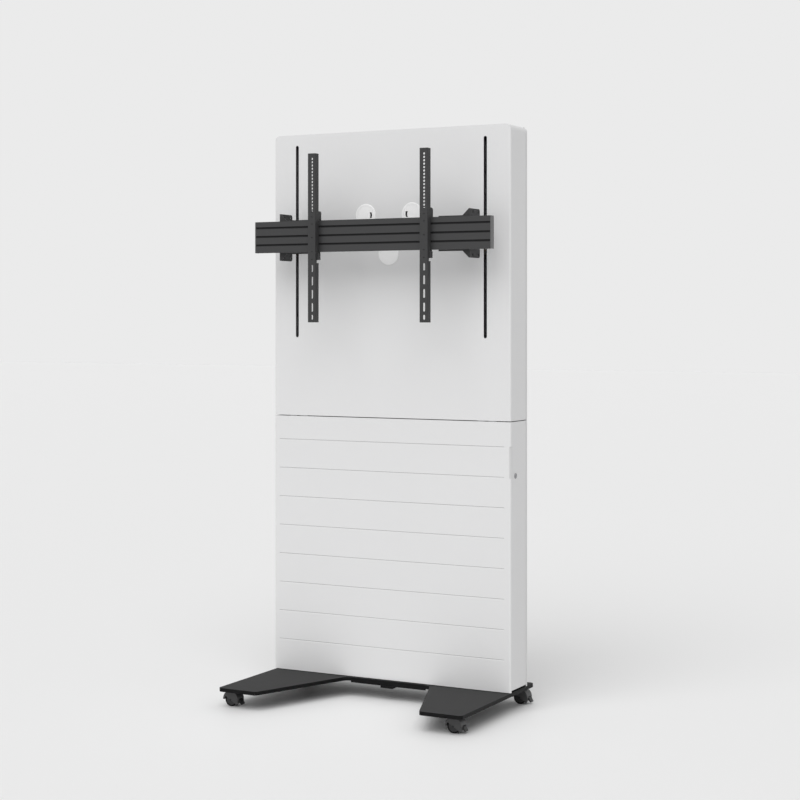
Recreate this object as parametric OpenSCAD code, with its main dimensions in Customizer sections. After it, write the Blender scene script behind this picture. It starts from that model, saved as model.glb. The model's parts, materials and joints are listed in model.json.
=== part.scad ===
// Motorized mobile TV stand: a tall sheet-steel cabinet on a castered base, with a lift
// inside that carries a slotted bar and two perforated strips for a screen.
// Units are millimetres. X runs to the right, the front faces -Y, Z is up.
// The origin is the centre of the base on the floor. The lift stands at rest height.

/* [Base] */
// Width of the base across the feet
base_w = 1012; // [920:1:1100]
// Depth of the base from front to back
base_d = 634; // [600:1:700]
// Height of the folded edge of the base
base_edge = 14; // [12:1:24]
// Sheet thickness of the base
base_sheet = 4; // [3:0.5:5]
// Depth of the cross beam under the cabinet
beam_d = 233; // [200:1:260]
// Half gap between the two feet at their front ends
foot_gap_front = 340; // [300:1:360]
// Half gap between the two feet at the beam
foot_gap_back = 181; // [160:1:220]

/* [Casters] */
// Height of the casters from the floor to the base
caster_h = 62; // [60:1:75]
// Diameter of a caster wheel
wheel_d = 50; // [44:1:50]
// Distance of the wheel axle from the swivel axis
caster_trail = 14; // [10:1:16]

/* [Cabinet] */
// Width of the cabinet
cab_w = 1020; // [960:1:1100]
// Depth of the cabinet
cab_d = 165; // [160:1:180]
// Distance of the cabinet's back from the base's rear edge
cab_set = 60; // [40:1:60]
// Height of the lower cover with its seam
lower_h = 1000; // [900:1:1100]
// Height of the upper cover with its seam
upper_h = 1100; // [1050:1:1200]
// Thickness of the cover sheets
sheet = 2; // [1.5:0.1:2.5]
// Width of the visible seams
seam = 3; // [2:0.5:4]
// Pitch of the pressed grooves in the lower cover
groove_pitch = 112.4; // [100:0.1:116]
// Number of the pressed grooves
groove_count = 8; // [4:1:8]

/* [Lift] */
// Distance of each spindle from the middle
spindle_x = 406.5; // [380:0.5:420]
// Diameter of the spindles
spindle_d = 16; // [12:1:20]
// Width of the uprights
upright_w = 80; // [76:1:90]
// Depth of the uprights
upright_d = 60; // [58:1:64]
// Wall of the uprights
upright_t = 4; // [3:0.5:5]
// Width of the slots in the upper cover
slot_w = 13; // [12:0.5:14]
// Height of the slots in the upper cover
slot_h = 751; // [740:1:760]

/* [Screen carrier] */
// Length of the bar between its end caps
bar_len = 998; // [900:1:1050]
// Height of the bar
bar_h = 120; // [116:1:130]
// Depth of the bar
bar_d = 25; // [24:1:28]
// Height of the bar's middle above the floor
bar_z = 1771; // [1750:1:1780]
// Distance from the bar's back to the cabinet's front
bar_gap = 132; // [126:1:140]
// Length of a bracket's side plate
tab_d = 86; // [80:1:90]
// Height of a bracket's side plate
tab_h = 180; // [170:1:200]
// Sheet thickness of the brackets
bracket_t = 5; // [4:0.5:5]
// Height of a perforated strip
strip_h = 640; // [620:1:660]
// Width of a perforated strip
strip_w = 33; // [32:1:36]
// Depth of a perforated strip
strip_d = 26; // [24:1:28]
// Distance of each strip's hole column from the middle
column_x = 238; // [200:1:300]
// Diameter of the strip holes
hole_d = 8.5; // [6.5:0.1:9]
// Pitch of the strip holes
hole_pitch = 12.5; // [12:0.1:13]

/* [Hidden] */
$fn = 48;

black = "#1c1c1e";
white = "#e4e4e6";
steel = "#a9adb2";

// Running gap on a turning fit, measured on the radius
run = 0.05;
// Gap between pieces that pass each other
clear = 0.3;
// Overshoot of a cutting solid
cut = 1;

base_top = caster_h + base_edge;
base_front = -base_d / 2;
base_back = base_d / 2;
beam_front = base_back - beam_d;
foot_side = base_w / 2;

// Casters
rear_caster = [foot_side - 26, base_back - 28];
front_caster = [rear_caster[0] - caster_trail, base_front + 65];
caster_plate = 42;
caster_plate_t = 3;
caster_hole = 15;
caster_screw_r = 2.5;
wheel_r = wheel_d / 2;
wheel_gap = 1.5;
wheel_t = 12.5;
web_t = 10;
hood_w = 43;
hood_r = caster_h - caster_plate_t - 0.5 - wheel_r;
well_r = wheel_r + wheel_gap;
well_out = hood_w / 2 - 1.6;
axle_r = 4;
king_r = 5;
pedal_w = 24;
pedal_x = hood_r - 3.5 - caster_trail;
pedal_pin_r = 1.75;
pedal_hub_r = 3.6;

// Cabinet
cab_side = cab_w / 2;
cab_back = base_back - cab_set;
cab_front = cab_back - cab_d;
lower_z = base_top + 2.5;
seam_z = base_top + 2 + lower_h;
cab_top = seam_z + upper_h;
return_d = 24;
bend_r = 7;
corner_r = 20;
side_end = cab_back - return_d - seam;
side_lift = 7.5;

// Cross bars behind the uprights
upright_front = cab_front + 10;
upright_back = upright_front + upright_d;
bar_tube = 40;
tube_t = 3;
cross_back = cab_back - sheet;
cross_z = [base_top, seam_z + 12, cab_top - 60];
cross_half = [cab_side - 26, cab_side - sheet, cab_side - sheet];
foot_plate_t = 6;
upright_top = cab_top - 18;

// Lift
spindle_y = upright_front + upright_d / 2;
spindle_r = spindle_d / 2;
arm_h = bar_h - 40;
arm_t = 6;
carriage_h = bar_h - 10;
carriage_w = upright_w - 2 * upright_t - 6;
carriage_d = upright_d - 2 * upright_t - 6;
collar_h = 14;
motor_r = 23;
motor_h = 150;
gear_h = 44;
bearing_h = 14;
slot_room = 346;
slot_low = bar_z - arm_h / 2 - slot_room;

// Screen carrier
bar_back = cab_front - bar_gap;
bar_front = bar_back - bar_d;
bar_low = bar_z - bar_h / 2;
bar_high = bar_z + bar_h / 2;
bar_wall = 3;
cap_t = 4;
hook_slot = [bar_back - 12, bar_back - 3];
hook_slot_depth = 9;
// Rebate along the bar's lower back edge, for the latches' tongues
rebate_h = 12;
strip_front = bar_front - strip_d;
strip_t = 3;
strip_drop = 327;
strip_low = bar_z - strip_drop;
strip_high = strip_low + strip_h;
strip_shift = 6.4;
column_off = 2.3;
hook_h = 35;
latch_h = 30;
latch_out = 9;
flange_in = spindle_x - 128;

// Rectangle with four round corners, built from exact arcs
module round_rect(x0, y0, x1, y1, r) {
  translate([x0 + r, y0]) square([x1 - x0 - 2 * r, y1 - y0]);
  translate([x0, y0 + r]) square([x1 - x0, y1 - y0 - 2 * r]);
  for (x = [x0 + r, x1 - r], y = [y0 + r, y1 - r]) translate([x, y]) circle(r);
}

// Straight slot with round ends, from one centre to the other
module slot_shape(a, b, r) {
  len = norm(b - a);
  translate(a) circle(r);
  translate(b) circle(r);
  translate(a) rotate(atan2(b[1] - a[1], b[0] - a[0])) translate([0, -r]) square([len, 2 * r]);
}

// Extrudes a front view, drawn in X and Z, from y0 to y1
module from_front(y0, y1) {
  translate([0, y1, 0]) rotate([90, 0, 0]) linear_extrude(y1 - y0) children();
}

// Extrudes a side view, drawn in Y and Z, from x0 to x1
module from_side(x0, x1) {
  translate([x0, 0, 0]) rotate([90, 0, 90]) linear_extrude(x1 - x0) children();
}

// Cylinder along Y with its axis at x, z
module round_y(x, z, r, y0, y1) {
  translate([x, y1, z]) rotate([90, 0, 0]) cylinder(h = y1 - y0, r = r);
}

// Cylinder along X with its axis at y, z
module round_x(y, z, r, x0, x1) {
  translate([x0, y, z]) rotate([0, 90, 0]) cylinder(h = x1 - x0, r = r);
}

module both_sides() {
  children();
  mirror([1, 0, 0]) children();
}

// Plan of the base: a beam with two splayed feet and rounded corners
module base_plan(inset) {
  offset(r = 15, $fn = 32) offset(delta = -15 - inset)
    offset(r = -36, $fn = 32) offset(delta = 36)
      polygon([
        [-foot_side, base_front], [-foot_gap_front, base_front],
        [-foot_gap_back, beam_front], [foot_gap_back, beam_front],
        [foot_gap_front, base_front], [foot_side, base_front],
        [foot_side, base_back], [-foot_side, base_back]]);
}

skirt_h = base_edge + 6;
outlet_x = [-31, 36];

module base_frame() {
  color(black) {
    difference() {
      translate([0, 0, caster_h]) linear_extrude(base_edge) base_plan(0);
      translate([0, 0, caster_h - cut]) linear_extrude(base_edge - base_sheet + cut)
        base_plan(base_sheet);
    }
    // Deeper skirt and two ribs that stiffen the beam
    translate([-foot_gap_back + 20, beam_front, base_top - skirt_h])
      cube([2 * foot_gap_back - 40, base_sheet, skirt_h]);
    for (y = [beam_front + 70, base_back - 60])
      translate([-foot_side + 80, y, caster_h + 2])
        cube([base_w - 160, base_sheet, base_edge - 2]);
  }
}

// Places its children at each caster's swivel axis
module at_casters() {
  for (s = [-1, 1]) {
    translate([s * front_caster[0], front_caster[1], 0]) children();
    translate([s * rear_caster[0], rear_caster[1], 0]) children();
  }
}

seat_w = caster_plate;
seat_t = 3;
seat_r = 11;

module caster_seats() {
  color(black) at_casters() difference() {
    translate([0, 0, caster_h]) linear_extrude(base_edge - base_sheet)
      round_rect(-seat_w / 2, -seat_w / 2, seat_w / 2, seat_w / 2, seat_r);
    translate([-seat_w / 2 + seat_t, -seat_w / 2 - cut, caster_h + seat_t])
      cube([seat_w - 2 * seat_t, seat_w + 2 * cut, base_edge]);
    translate([0, 0, caster_h - cut]) cylinder(h = seat_t + 2 * cut, r = king_r + 3);
    for (x = [-1, 1] * caster_hole, y = [-1, 1] * caster_hole)
      translate([x, y, caster_h - cut]) cylinder(h = seat_t + 2 * cut, r = caster_screw_r);
  }
}

module caster_plates() {
  color(steel) at_casters() difference() {
    translate([0, 0, caster_h - caster_plate_t]) linear_extrude(caster_plate_t)
      round_rect(-caster_plate / 2, -caster_plate / 2, caster_plate / 2, caster_plate / 2, 4);
    translate([0, 0, caster_h - caster_plate_t - cut])
      cylinder(h = caster_plate_t + 2 * cut, r = king_r + run);
    for (x = [-1, 1] * caster_hole, y = [-1, 1] * caster_hole)
      translate([x, y, caster_h - caster_plate_t]) {
        translate([0, 0, -cut]) cylinder(h = caster_plate_t + 2 * cut, r = caster_screw_r);
        cylinder(h = 2, r1 = caster_screw_r + 2, r2 = caster_screw_r);
      }
  }
}

module caster_screws() {
  color(steel) at_casters()
    for (x = [-1, 1] * caster_hole, y = [-1, 1] * caster_hole)
      translate([x, y, caster_h - caster_plate_t]) {
        cylinder(h = 2, r1 = caster_screw_r + 2, r2 = caster_screw_r);
        cylinder(h = caster_plate_t + seat_t + 2, r = caster_screw_r);
      }
}

module cable_outlet() {
  depth = 36;
  low = 48;
  color(black) difference() {
    union() {
      from_front(beam_front - 2, beam_front + depth) polygon([
        [outlet_x[0], base_top - skirt_h], [outlet_x[0], low], [outlet_x[1] - 14, low],
        [outlet_x[1], base_top - skirt_h]]);
      // Housing behind the skirt, up to the base sheet
      translate([outlet_x[0], beam_front + base_sheet, base_top - skirt_h])
        cube([outlet_x[1] - outlet_x[0], depth - base_sheet, skirt_h - base_sheet]);
    }
    // Round mouth at the back for the cable
    round_y(0, low + 4, 3, beam_front + 6, beam_front + depth + cut);
  }
}

// Caster parts are drawn round the swivel axis, with the wheels trailing towards -X
module hood() {
  axle_x = -caster_trail;
  king_top = caster_h - caster_plate_t - 0.4;
  difference() {
    union() {
      // Arched shell and side cheeks over the upper part of the wheels
      intersection() {
        round_y(axle_x, wheel_r, hood_r, -hood_w / 2, hood_w / 2);
        translate([axle_x, -hood_w, wheel_r]) rotate([0, 32, 0])
          translate([-2 * hood_r, 0, 0]) cube([4 * hood_r, 2 * hood_w, 2 * hood_r]);
      }
      intersection() {
        round_y(axle_x, wheel_r, hood_r, -hood_w / 2, hood_w / 2);
        translate([axle_x - 2 * hood_r, -hood_w / 2 + 1.6, wheel_r])
          cube([2 * hood_r, hood_w - 3.2, hood_r]);
      }
      // Web between the wheels that carries the axle
      round_y(axle_x, wheel_r, wheel_r - 3, -web_t / 2, web_t / 2);
      translate([0, 0, 42]) cylinder(h = king_top - 42, r = king_r + 5);
    }
    for (s = [-1, 1])
      round_y(axle_x, wheel_r, well_r, s > 0 ? web_t / 2 : -well_out, s > 0 ? well_out : -web_t / 2);
    round_y(axle_x, wheel_r, axle_r, -hood_w, hood_w);
    translate([0, 0, 44]) cylinder(h = caster_h, r = king_r);
    // Notch and pin hole for the brake pedal
    translate([pedal_x - 6, -pedal_w / 2 - clear, -cut])
      cube([20, pedal_w + 2 * clear, wheel_r + 6]);
    round_y(pedal_x, wheel_r, pedal_pin_r, -hood_w, hood_w);
  }
}

module caster_pins() {
  round_y(-caster_trail, wheel_r, axle_r, -hood_w / 2 + 0.6, hood_w / 2 - 0.6);
  round_y(pedal_x, wheel_r, pedal_pin_r, -hood_w / 2 + 2, hood_w / 2 - 2);
  translate([0, 0, 44]) cylinder(h = caster_h - 44 + 2, r = king_r);
  translate([0, 0, caster_h + 0.3]) cylinder(h = 2, r = king_r + 2);
}

module wheels() {
  for (s = [0, 1]) mirror([0, s, 0])
    translate([-caster_trail, web_t / 2 + clear + wheel_t, wheel_r]) rotate([90, 0, 0])
      rotate_extrude() polygon([
        [axle_r + run, 0], [10, 0], [11, 2], [wheel_r - 5, 2], [wheel_r - 4, 0],
        [wheel_r - 1.6, 0], [wheel_r - 0.5, 1], [wheel_r, 3], [wheel_r, wheel_t - 3],
        [wheel_r - 1.6, wheel_t], [axle_r + run, wheel_t]]);
}

module pedal() {
  difference() {
    union() {
      round_y(pedal_x, wheel_r, pedal_hub_r, -pedal_w / 2, pedal_w / 2);
      from_front(-pedal_w / 2, pedal_w / 2) polygon([
        [pedal_x - 1, wheel_r + 3.4], [pedal_x + 6, wheel_r + 1], [pedal_x + 14, 11],
        [pedal_x + 12.5, 8], [pedal_x + 1, wheel_r - 6], [pedal_x - 1, wheel_r - 3]]);
    }
    round_y(pedal_x, wheel_r, pedal_pin_r + run, -pedal_w, pedal_w);
  }
}

// Puts one caster's piece at its place: s is the side, rear picks the rear pair.
// The rear left caster stands turned half round.
module at_caster(s, rear) {
  p = rear ? rear_caster : front_caster;
  translate([s * p[0], p[1], 0]) rotate(rear && s < 0 ? 180 : 0) children();
}

module caster_fl_hood() { color(black) at_caster(-1, false) hood(); }
module caster_fr_hood() { color(black) at_caster(1, false) hood(); }
module caster_rl_hood() { color(black) at_caster(-1, true) hood(); }
module caster_rr_hood() { color(black) at_caster(1, true) hood(); }
module caster_fl_pins() { color(steel) at_caster(-1, false) caster_pins(); }
module caster_fr_pins() { color(steel) at_caster(1, false) caster_pins(); }
module caster_rl_pins() { color(steel) at_caster(-1, true) caster_pins(); }
module caster_rr_pins() { color(steel) at_caster(1, true) caster_pins(); }
module caster_fl_wheels() { color("#2b2b2d") at_caster(-1, false) wheels(); }
module caster_fr_wheels() { color("#2b2b2d") at_caster(1, false) wheels(); }
module caster_rl_wheels() { color("#2b2b2d") at_caster(-1, true) wheels(); }
module caster_rr_wheels() { color("#2b2b2d") at_caster(1, true) wheels(); }
module caster_fl_pedal() { color(black) at_caster(-1, false) pedal(); }
module caster_fr_pedal() { color(black) at_caster(1, false) pedal(); }
module caster_rl_pedal() { color(black) at_caster(-1, true) pedal(); }
module caster_rr_pedal() { color(black) at_caster(1, true) pedal(); }

// Lipped C profile, open towards the front, round the spindle's axis
module upright_plan() {
  lip_gap = slot_w + 3;
  difference() {
    round_rect(-upright_w / 2, -upright_d / 2, upright_w / 2, upright_d / 2, 5);
    translate([-upright_w / 2 + upright_t, -upright_d / 2 + upright_t])
      square([upright_w - 2 * upright_t, upright_d - 2 * upright_t]);
    translate([-lip_gap / 2, -upright_d / 2 - cut]) square([lip_gap, upright_t + 2 * cut]);
  }
}

module upright() {
  low = base_top + foot_plate_t;
  translate([spindle_x, spindle_y, low]) linear_extrude(upright_top - low) upright_plan();
}

module left_upright() { color(steel) mirror([1, 0, 0]) upright(); }
module right_upright() { color(steel) upright(); }

foot_plate_w = upright_w + 50;
foot_bolt_y = 18;
foot_bolt_in = 12;

module upright_feet() {
  color(steel) both_sides() difference() {
    translate([spindle_x - foot_plate_w / 2, upright_front, base_top])
      cube([foot_plate_w, upright_d, foot_plate_t]);
    for (s = [-1, 1], y = [-1, 1] * foot_bolt_y)
      translate([spindle_x + s * (foot_plate_w / 2 - foot_bolt_in), spindle_y + y, base_top - cut])
        cylinder(h = foot_plate_t + 2 * cut, r = 4);
  }
}

// Three tubes behind the uprights carry the covers and the back panel
module cross_bars() {
  color(steel) for (i = [0, 1, 2])
    difference() {
      intersection() {
        translate([-cross_half[i], upright_back, cross_z[i]])
          cube([2 * cross_half[i], cross_back - upright_back, bar_tube]);
        cabinet_solid(sheet, base_top, cab_top, cab_top - sheet - clear);
      }
      translate([-cross_half[i] - cut, upright_back + tube_t, cross_z[i] + tube_t])
        cube([2 * cross_half[i] + 2 * cut, cross_back - upright_back - 2 * tube_t,
          bar_tube - 2 * tube_t]);
      for (p = back_screws) round_y(p[0], p[1], back_screw_r, cross_back - cut - tube_t, cab_back);
    }
}

// Screws of the foot plates; the uprights are welded to the cross bars
module frame_bolts() {
  color("#8f9398") both_sides() for (s = [-1, 1], y = [-1, 1] * 18)
    translate([spindle_x + s * (foot_plate_w / 2 - 12), spindle_y + y, 0]) {
      translate([0, 0, base_top + foot_plate_t]) cylinder(h = 5, r = 6.5, $fn = 6);
      translate([0, 0, base_top]) cylinder(h = foot_plate_t, r = 4);
    }
}

// Outline of the cabinet in plan: bent front edges, rounder back corners
module cabinet_plan(inset) {
  front_r = bend_r - inset;
  back_r = corner_r - inset;
  x = cab_side - inset;
  y0 = cab_front + inset;
  y1 = cab_back - inset;
  translate([-x + front_r, y0]) square([2 * (x - front_r), cab_d / 2]);
  translate([-x, y0 + front_r]) square([2 * x, cab_d - 2 * inset - front_r - back_r]);
  translate([-x + back_r, y1 - cab_d / 2]) square([2 * (x - back_r), cab_d / 2]);
  for (s = [-1, 1]) {
    translate([s * (x - front_r), y0 + front_r]) circle(front_r);
    translate([s * (x - back_r), y1 - back_r]) circle(back_r);
  }
}

// Front view of the cabinet with rounded top corners
module cabinet_face(inset, low, top) {
  r = corner_r + 3 - inset;
  x = cab_side - inset;
  translate([-x, low]) square([2 * x, top - inset - r - low]);
  translate([-x + r, low]) square([2 * (x - r), top - inset - low]);
  for (s = [-1, 1]) translate([s * (x - r), top - inset - r]) circle(r);
}

// The cabinet as one solid up to a height, drawn in by inset on all sides
module cabinet_solid(inset, low, high, top = cab_top) {
  intersection() {
    translate([0, 0, low]) linear_extrude(high - low) cabinet_plan(inset);
    from_front(cab_front, cab_back) cabinet_face(inset, low, top);
  }
}

module back_panel() {
  high = cab_top - sheet - clear;
  color(white) difference() {
    cabinet_solid(0, lower_z, high, high);
    cabinet_solid(sheet, lower_z - cut, high, high);
    translate([-cab_w, cab_front - cut, 0]) cube([2 * cab_w, cab_d - return_d + cut, cab_top]);
    // Window for the mains inlet
    translate([inlet_x - inlet_w / 2, cab_back - 10, inlet_z - inlet_h / 2])
      cube([inlet_w, 20, inlet_h]);
    for (p = back_screws) round_y(p[0], p[1], back_screw_r, cab_back - 10, cab_back + cut);
  }
}

back_screws = [for (z = cross_z, x = [-1, -0.34, 0.34, 1] * (cab_side - 60)) [x, z + bar_tube / 2]];
back_screw_r = 3;
inlet_x = -300;
inlet_z = base_top + 90;
inlet_w = 48;
inlet_h = 28;

grommet_r = 40;
grommets = [[-100, bar_z + 84], [100, bar_z + 84], [0, bar_z - 64]];

module upper_cover() {
  low = seam_z + seam / 2;
  color(white) difference() {
    cabinet_solid(0, low, cab_top);
    cabinet_solid(sheet, low - cut, cab_top - sheet);
    // The side walls stop where the back panel's folds begin
    translate([-cab_w, side_end, low - cut])
      cube([2 * cab_w, cab_d, cab_top - low - sheet + cut]);
    both_sides() from_front(cab_front - cut, cab_front + sheet + cut)
      slot_shape([spindle_x, slot_low + slot_w / 2],
        [spindle_x, slot_low + slot_h - slot_w / 2], slot_w / 2);
    for (g = grommets) round_y(g[0], g[1], grommet_r, cab_front - cut, cab_front + sheet + cut);
  }
}

// Pressed grooves run across the front, with ends that turn down a little
groove_top = seam_z - 94;
groove_in = [24, 29];
groove_tail = [3, 4];
groove_w = 4;
groove_depth = 0.8;
// Hand recess: a slanted facet set into the front right edge
recess_z = [seam_z - 210, seam_z - 92];
recess_d = 15;

module groove_shape(z) {
  x0 = -cab_side + groove_in[0];
  x1 = cab_side - groove_in[1];
  slot_shape([x0, z], [x1, z], groove_w / 2);
  slot_shape([x0, z], [x0 - groove_tail[0], z - groove_tail[1]], groove_w / 2);
  slot_shape([x1, z], [x1 + groove_tail[0], z - groove_tail[1]], groove_w / 2);
}

module recess_wedge(grow) {
  a = cab_side + 2;
  b = cab_side - recess_d - grow;
  f = cab_front - 2;
  g = cab_front + recess_d + grow;
  translate([0, 0, recess_z[0] - grow]) linear_extrude(recess_z[1] - recess_z[0] + 2 * grow)
    polygon([[b - 2, f], [a, f], [a, g + 2]]);
}

lock_y = cab_front + 42;
lock_z = seam_z - 202;
lock_r = 10.5;

module lower_cover() {
  high = seam_z - seam / 2;
  color(white) difference() {
    union() {
      difference() {
        cabinet_solid(0, lower_z, high);
        cabinet_solid(sheet, lower_z - cut, high + cut);
        translate([-cab_w, side_end, 0]) cube([2 * cab_w, cab_d, cab_top]);
        // The side walls end a little higher than the front
        translate([-cab_w, cab_front + bend_r + 1, lower_z - cut])
          cube([2 * cab_w, cab_d, side_lift + cut]);
      }
      intersection() {
        recess_wedge(sheet);
        cabinet_solid(0, lower_z, high);
      }
    }
    recess_wedge(0);
    for (i = [0 : groove_count - 1])
      from_front(cab_front - cut, cab_front + groove_depth)
        groove_shape(groove_top - i * groove_pitch);
    round_x(lock_y, lock_z, lock_r - 1.5, cab_side - 20, cab_side + cut);
  }
}

// Raised-head screws that hold the back panel on the cross bars
module cover_screws() {
  color(steel) for (p = back_screws) {
    round_y(p[0], p[1], back_screw_r, cross_back - tube_t - cut, cab_back);
    translate([p[0], cab_back, p[1]]) rotate([-90, 0, 0]) cylinder(h = 2, r1 = 5.5, r2 = 3.5);
  }
}

hinge_r = 4;
hinge_pin_r = 2.5;
hinge_x = -cab_side + 8;
hinge_y = side_end - 6;
hinge_end = 120;
hinge_zs = [lower_z + hinge_end, (lower_z + seam_z) / 2, seam_z - hinge_end];
hinge_t = 2;
knuckle = 24;
// The fixed leaf's post stands clear of the wall's end when the door is open
hinge_post = side_end - hinge_y + 1.5;

// Three fixed leaves, each with the two outer knuckles of a hinge
module hinge_frame_leaves() {
  color(steel) for (z = hinge_zs) difference() {
    union() {
      for (s = [-1, 1]) translate([hinge_x, hinge_y, z + s * knuckle - knuckle / 2 + 0.15])
        cylinder(h = knuckle - 0.3, r = hinge_r);
      for (s = [-1, 1])
        translate([hinge_x, hinge_y - hinge_t / 2, z + s * knuckle - knuckle / 2 + 0.15]) {
          cube([hinge_post + hinge_t, hinge_t, knuckle - 0.3]);
          translate([hinge_post, 0, 0])
            cube([hinge_t, side_end + seam + hinge_t - hinge_y, knuckle - 0.3]);
        }
      translate([-cab_side + sheet, side_end + seam + 1, z - 1.5 * knuckle])
        cube([hinge_x + hinge_post + hinge_t + cab_side - sheet, hinge_t, 3 * knuckle]);
    }
    translate([hinge_x, hinge_y, z - 2 * knuckle]) cylinder(h = 4 * knuckle, r = hinge_pin_r);
  }
}

module hinge_pins() {
  color(steel) for (z = hinge_zs)
    translate([hinge_x, hinge_y, z - 1.5 * knuckle - 1]) cylinder(h = 3 * knuckle + 2, r = hinge_pin_r);
}

module hinge_door_leaves() {
  color(steel) for (z = hinge_zs) difference() {
    union() {
      translate([hinge_x, hinge_y, z - knuckle / 2 + 0.15]) cylinder(h = knuckle - 0.3, r = hinge_r);
      translate([hinge_x - hinge_r, hinge_y - 34, z - knuckle / 2 + 0.15])
        cube([2, 34, knuckle - 0.3]);
      translate([-cab_side + sheet, hinge_y - 34, z - knuckle / 2 + 0.15])
        cube([hinge_x - hinge_r + cab_side - sheet + 0.5, 24, knuckle - 0.3]);
    }
    translate([hinge_x, hinge_y, z - knuckle]) cylinder(h = 2 * knuckle, r = hinge_pin_r + run);
  }
}

lock_len = 20;
lock_core_r = 6;
cam_t = 2.5;

module lock_housing() {
  color(steel) difference() {
    union() {
      round_x(lock_y, lock_z, lock_r, cab_side, cab_side + 1.5);
      round_x(lock_y, lock_z, lock_r - 1.5, cab_side - lock_len, cab_side);
    }
    round_x(lock_y, lock_z, lock_core_r + run, cab_side - lock_len - cut, cab_side + 3);
  }
}

// Key cylinder with its cam, shown open: the cam points to the back
module lock_cylinder() {
  color("#c2c5c9") {
    difference() {
      round_x(lock_y, lock_z, lock_core_r, cab_side - lock_len - cam_t, cab_side + 1);
      translate([cab_side - 6, lock_y - 0.6, lock_z - 3.5]) cube([10, 1.2, 7]);
    }
    from_side(cab_side - lock_len - cam_t, cab_side - lock_len - 0.3)
      slot_shape([lock_y, lock_z], [lock_y + 24, lock_z], lock_core_r);
  }
}

// Catch that the cam turns down behind
module lock_catch() {
  x0 = spindle_x + upright_w / 2;
  x1 = cab_side - lock_len + 2;
  plate_y = lock_y - lock_core_r - 4;
  color(steel) {
    translate([x0, plate_y, lock_z - 34]) cube([x1 - x0, 3, 18]);
    translate([x0, plate_y, lock_z - 44]) cube([3, 24, 38]);
  }
}

module grommet_rings() {
  color("#f0f0f0") for (g = grommets)
    translate([g[0], cab_front, g[1]]) rotate([90, 0, 0]) difference() {
      union() {
        translate([0, 0, -16]) cylinder(h = 16, r = grommet_r - 0.2);
        rotate_extrude() polygon([[0, 0], [grommet_r + 3.5, 0], [grommet_r + 3.5, 0.8],
          [grommet_r + 2.5, 2.2], [0, 2.2]]);
      }
      translate([0, 0, -17]) cylinder(h = 20, r = cap_r + run);
    }
}

cap_r = grommet_r - 4.5;

// Turning cap with a curved notch for the cables
module grommet_cap(g, turn) {
  color("#f4f4f4") translate([g[0], cab_front, g[1]]) rotate([90, 0, 0]) rotate(turn)
    difference() {
      translate([0, 0, -4]) cylinder(h = 5.6, r = cap_r);
      translate([0, 0, -5]) linear_extrude(8) intersection() {
        difference() {
          circle(28);
          circle(20);
        }
        translate([0, -11]) square([40, 22]);
      }
    }
}

module grommet_cap_left() { grommet_cap(grommets[0], 0); }
module grommet_cap_right() { grommet_cap(grommets[1], 180); }
module grommet_cap_low() { grommet_cap(grommets[2], 60); }

motor_z = base_top + foot_plate_t;

// Gear motor inside the foot of an upright: gearbox, can and flange
module motor() {
  translate([spindle_x, spindle_y, motor_z]) difference() {
    union() {
      cylinder(h = 6, r = motor_r + 2);
      translate([0, 0, 6]) cylinder(h = motor_h, r = motor_r);
      translate([-25, -25, motor_h + 6]) cube([50, 50, gear_h]);
    }
    translate([0, 0, motor_h + 12]) cylinder(h = gear_h, r = spindle_r + run);
  }
}

module left_motor() { color("#3a3c40") mirror([1, 0, 0]) motor(); }
module right_motor() { color("#3a3c40") motor(); }

spindle_low = motor_z + motor_h + 14;

module spindle() {
  translate([spindle_x, spindle_y, spindle_low])
    cylinder(h = upright_top - 1 - spindle_low, r = spindle_r);
}

module left_spindle() { color(steel) mirror([1, 0, 0]) spindle(); }
module right_spindle() { color(steel) spindle(); }

module spindle_bearings() {
  w = upright_w - 2 * upright_t;
  d = upright_d - 2 * upright_t;
  color("#3a3c40") both_sides() translate([spindle_x, spindle_y, upright_top - bearing_h])
    difference() {
      translate([-w / 2, -d / 2, 0]) cube([w, d, bearing_h]);
      translate([0, 0, -cut]) cylinder(h = bearing_h + 2 * cut, r = spindle_r + run);
    }
}

nut_h = 24;

module spindle_nuts() {
  color("#c9b37a") both_sides() translate([spindle_x, spindle_y, bar_z - carriage_h / 2 - nut_h])
    difference() {
      union() {
        cylinder(h = nut_h, r = spindle_r + 6);
        translate([0, 0, nut_h - 6]) cylinder(h = 6, r = spindle_r + 12);
      }
      translate([0, 0, -cut]) cylinder(h = nut_h + 2 * cut, r = spindle_r + clear);
    }
}

module carriages() {
  color("#6d7176") both_sides() translate([spindle_x, spindle_y, bar_z]) difference() {
    translate([-carriage_w / 2, -carriage_d / 2, -carriage_h / 2])
      cube([carriage_w, carriage_d, carriage_h]);
    translate([0, 0, -carriage_h]) cylinder(h = 2 * carriage_h, r = spindle_r + 3);
    // Pocket that lightens the block, open to both sides
    translate([-carriage_w, -carriage_d / 2 + 10, -carriage_h / 2 + 22])
      cube([2 * carriage_w, carriage_d - 20, carriage_h - 44]);
  }
}

module glide_collars() {
  w = upright_w - 2 * upright_t - 2 * clear;
  d = upright_d - 2 * upright_t - 2 * clear;
  color("#e8e6df") both_sides() for (s = [-1, 1])
    translate([spindle_x, spindle_y, bar_z + s * (carriage_h - collar_h) / 2]) difference() {
      translate([-w / 2, -d / 2, -collar_h / 2]) cube([w, d, collar_h]);
      translate([-carriage_w / 2, -carriage_d / 2, -collar_h])
        cube([carriage_w, carriage_d, 2 * collar_h]);
    }
}

module arms() {
  color(black) both_sides()
    translate([spindle_x - 0.5, bar_back + bracket_t + 5, bar_z - arm_h / 2])
      cube([arm_t, spindle_y - carriage_d / 2 - bar_back - bracket_t - 5, arm_h]);
}

tab_x = spindle_x - 0.5 - bracket_t;
tab_hole_in = 11.5;
flange_h = 130;
gusset = 24.5;

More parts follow.
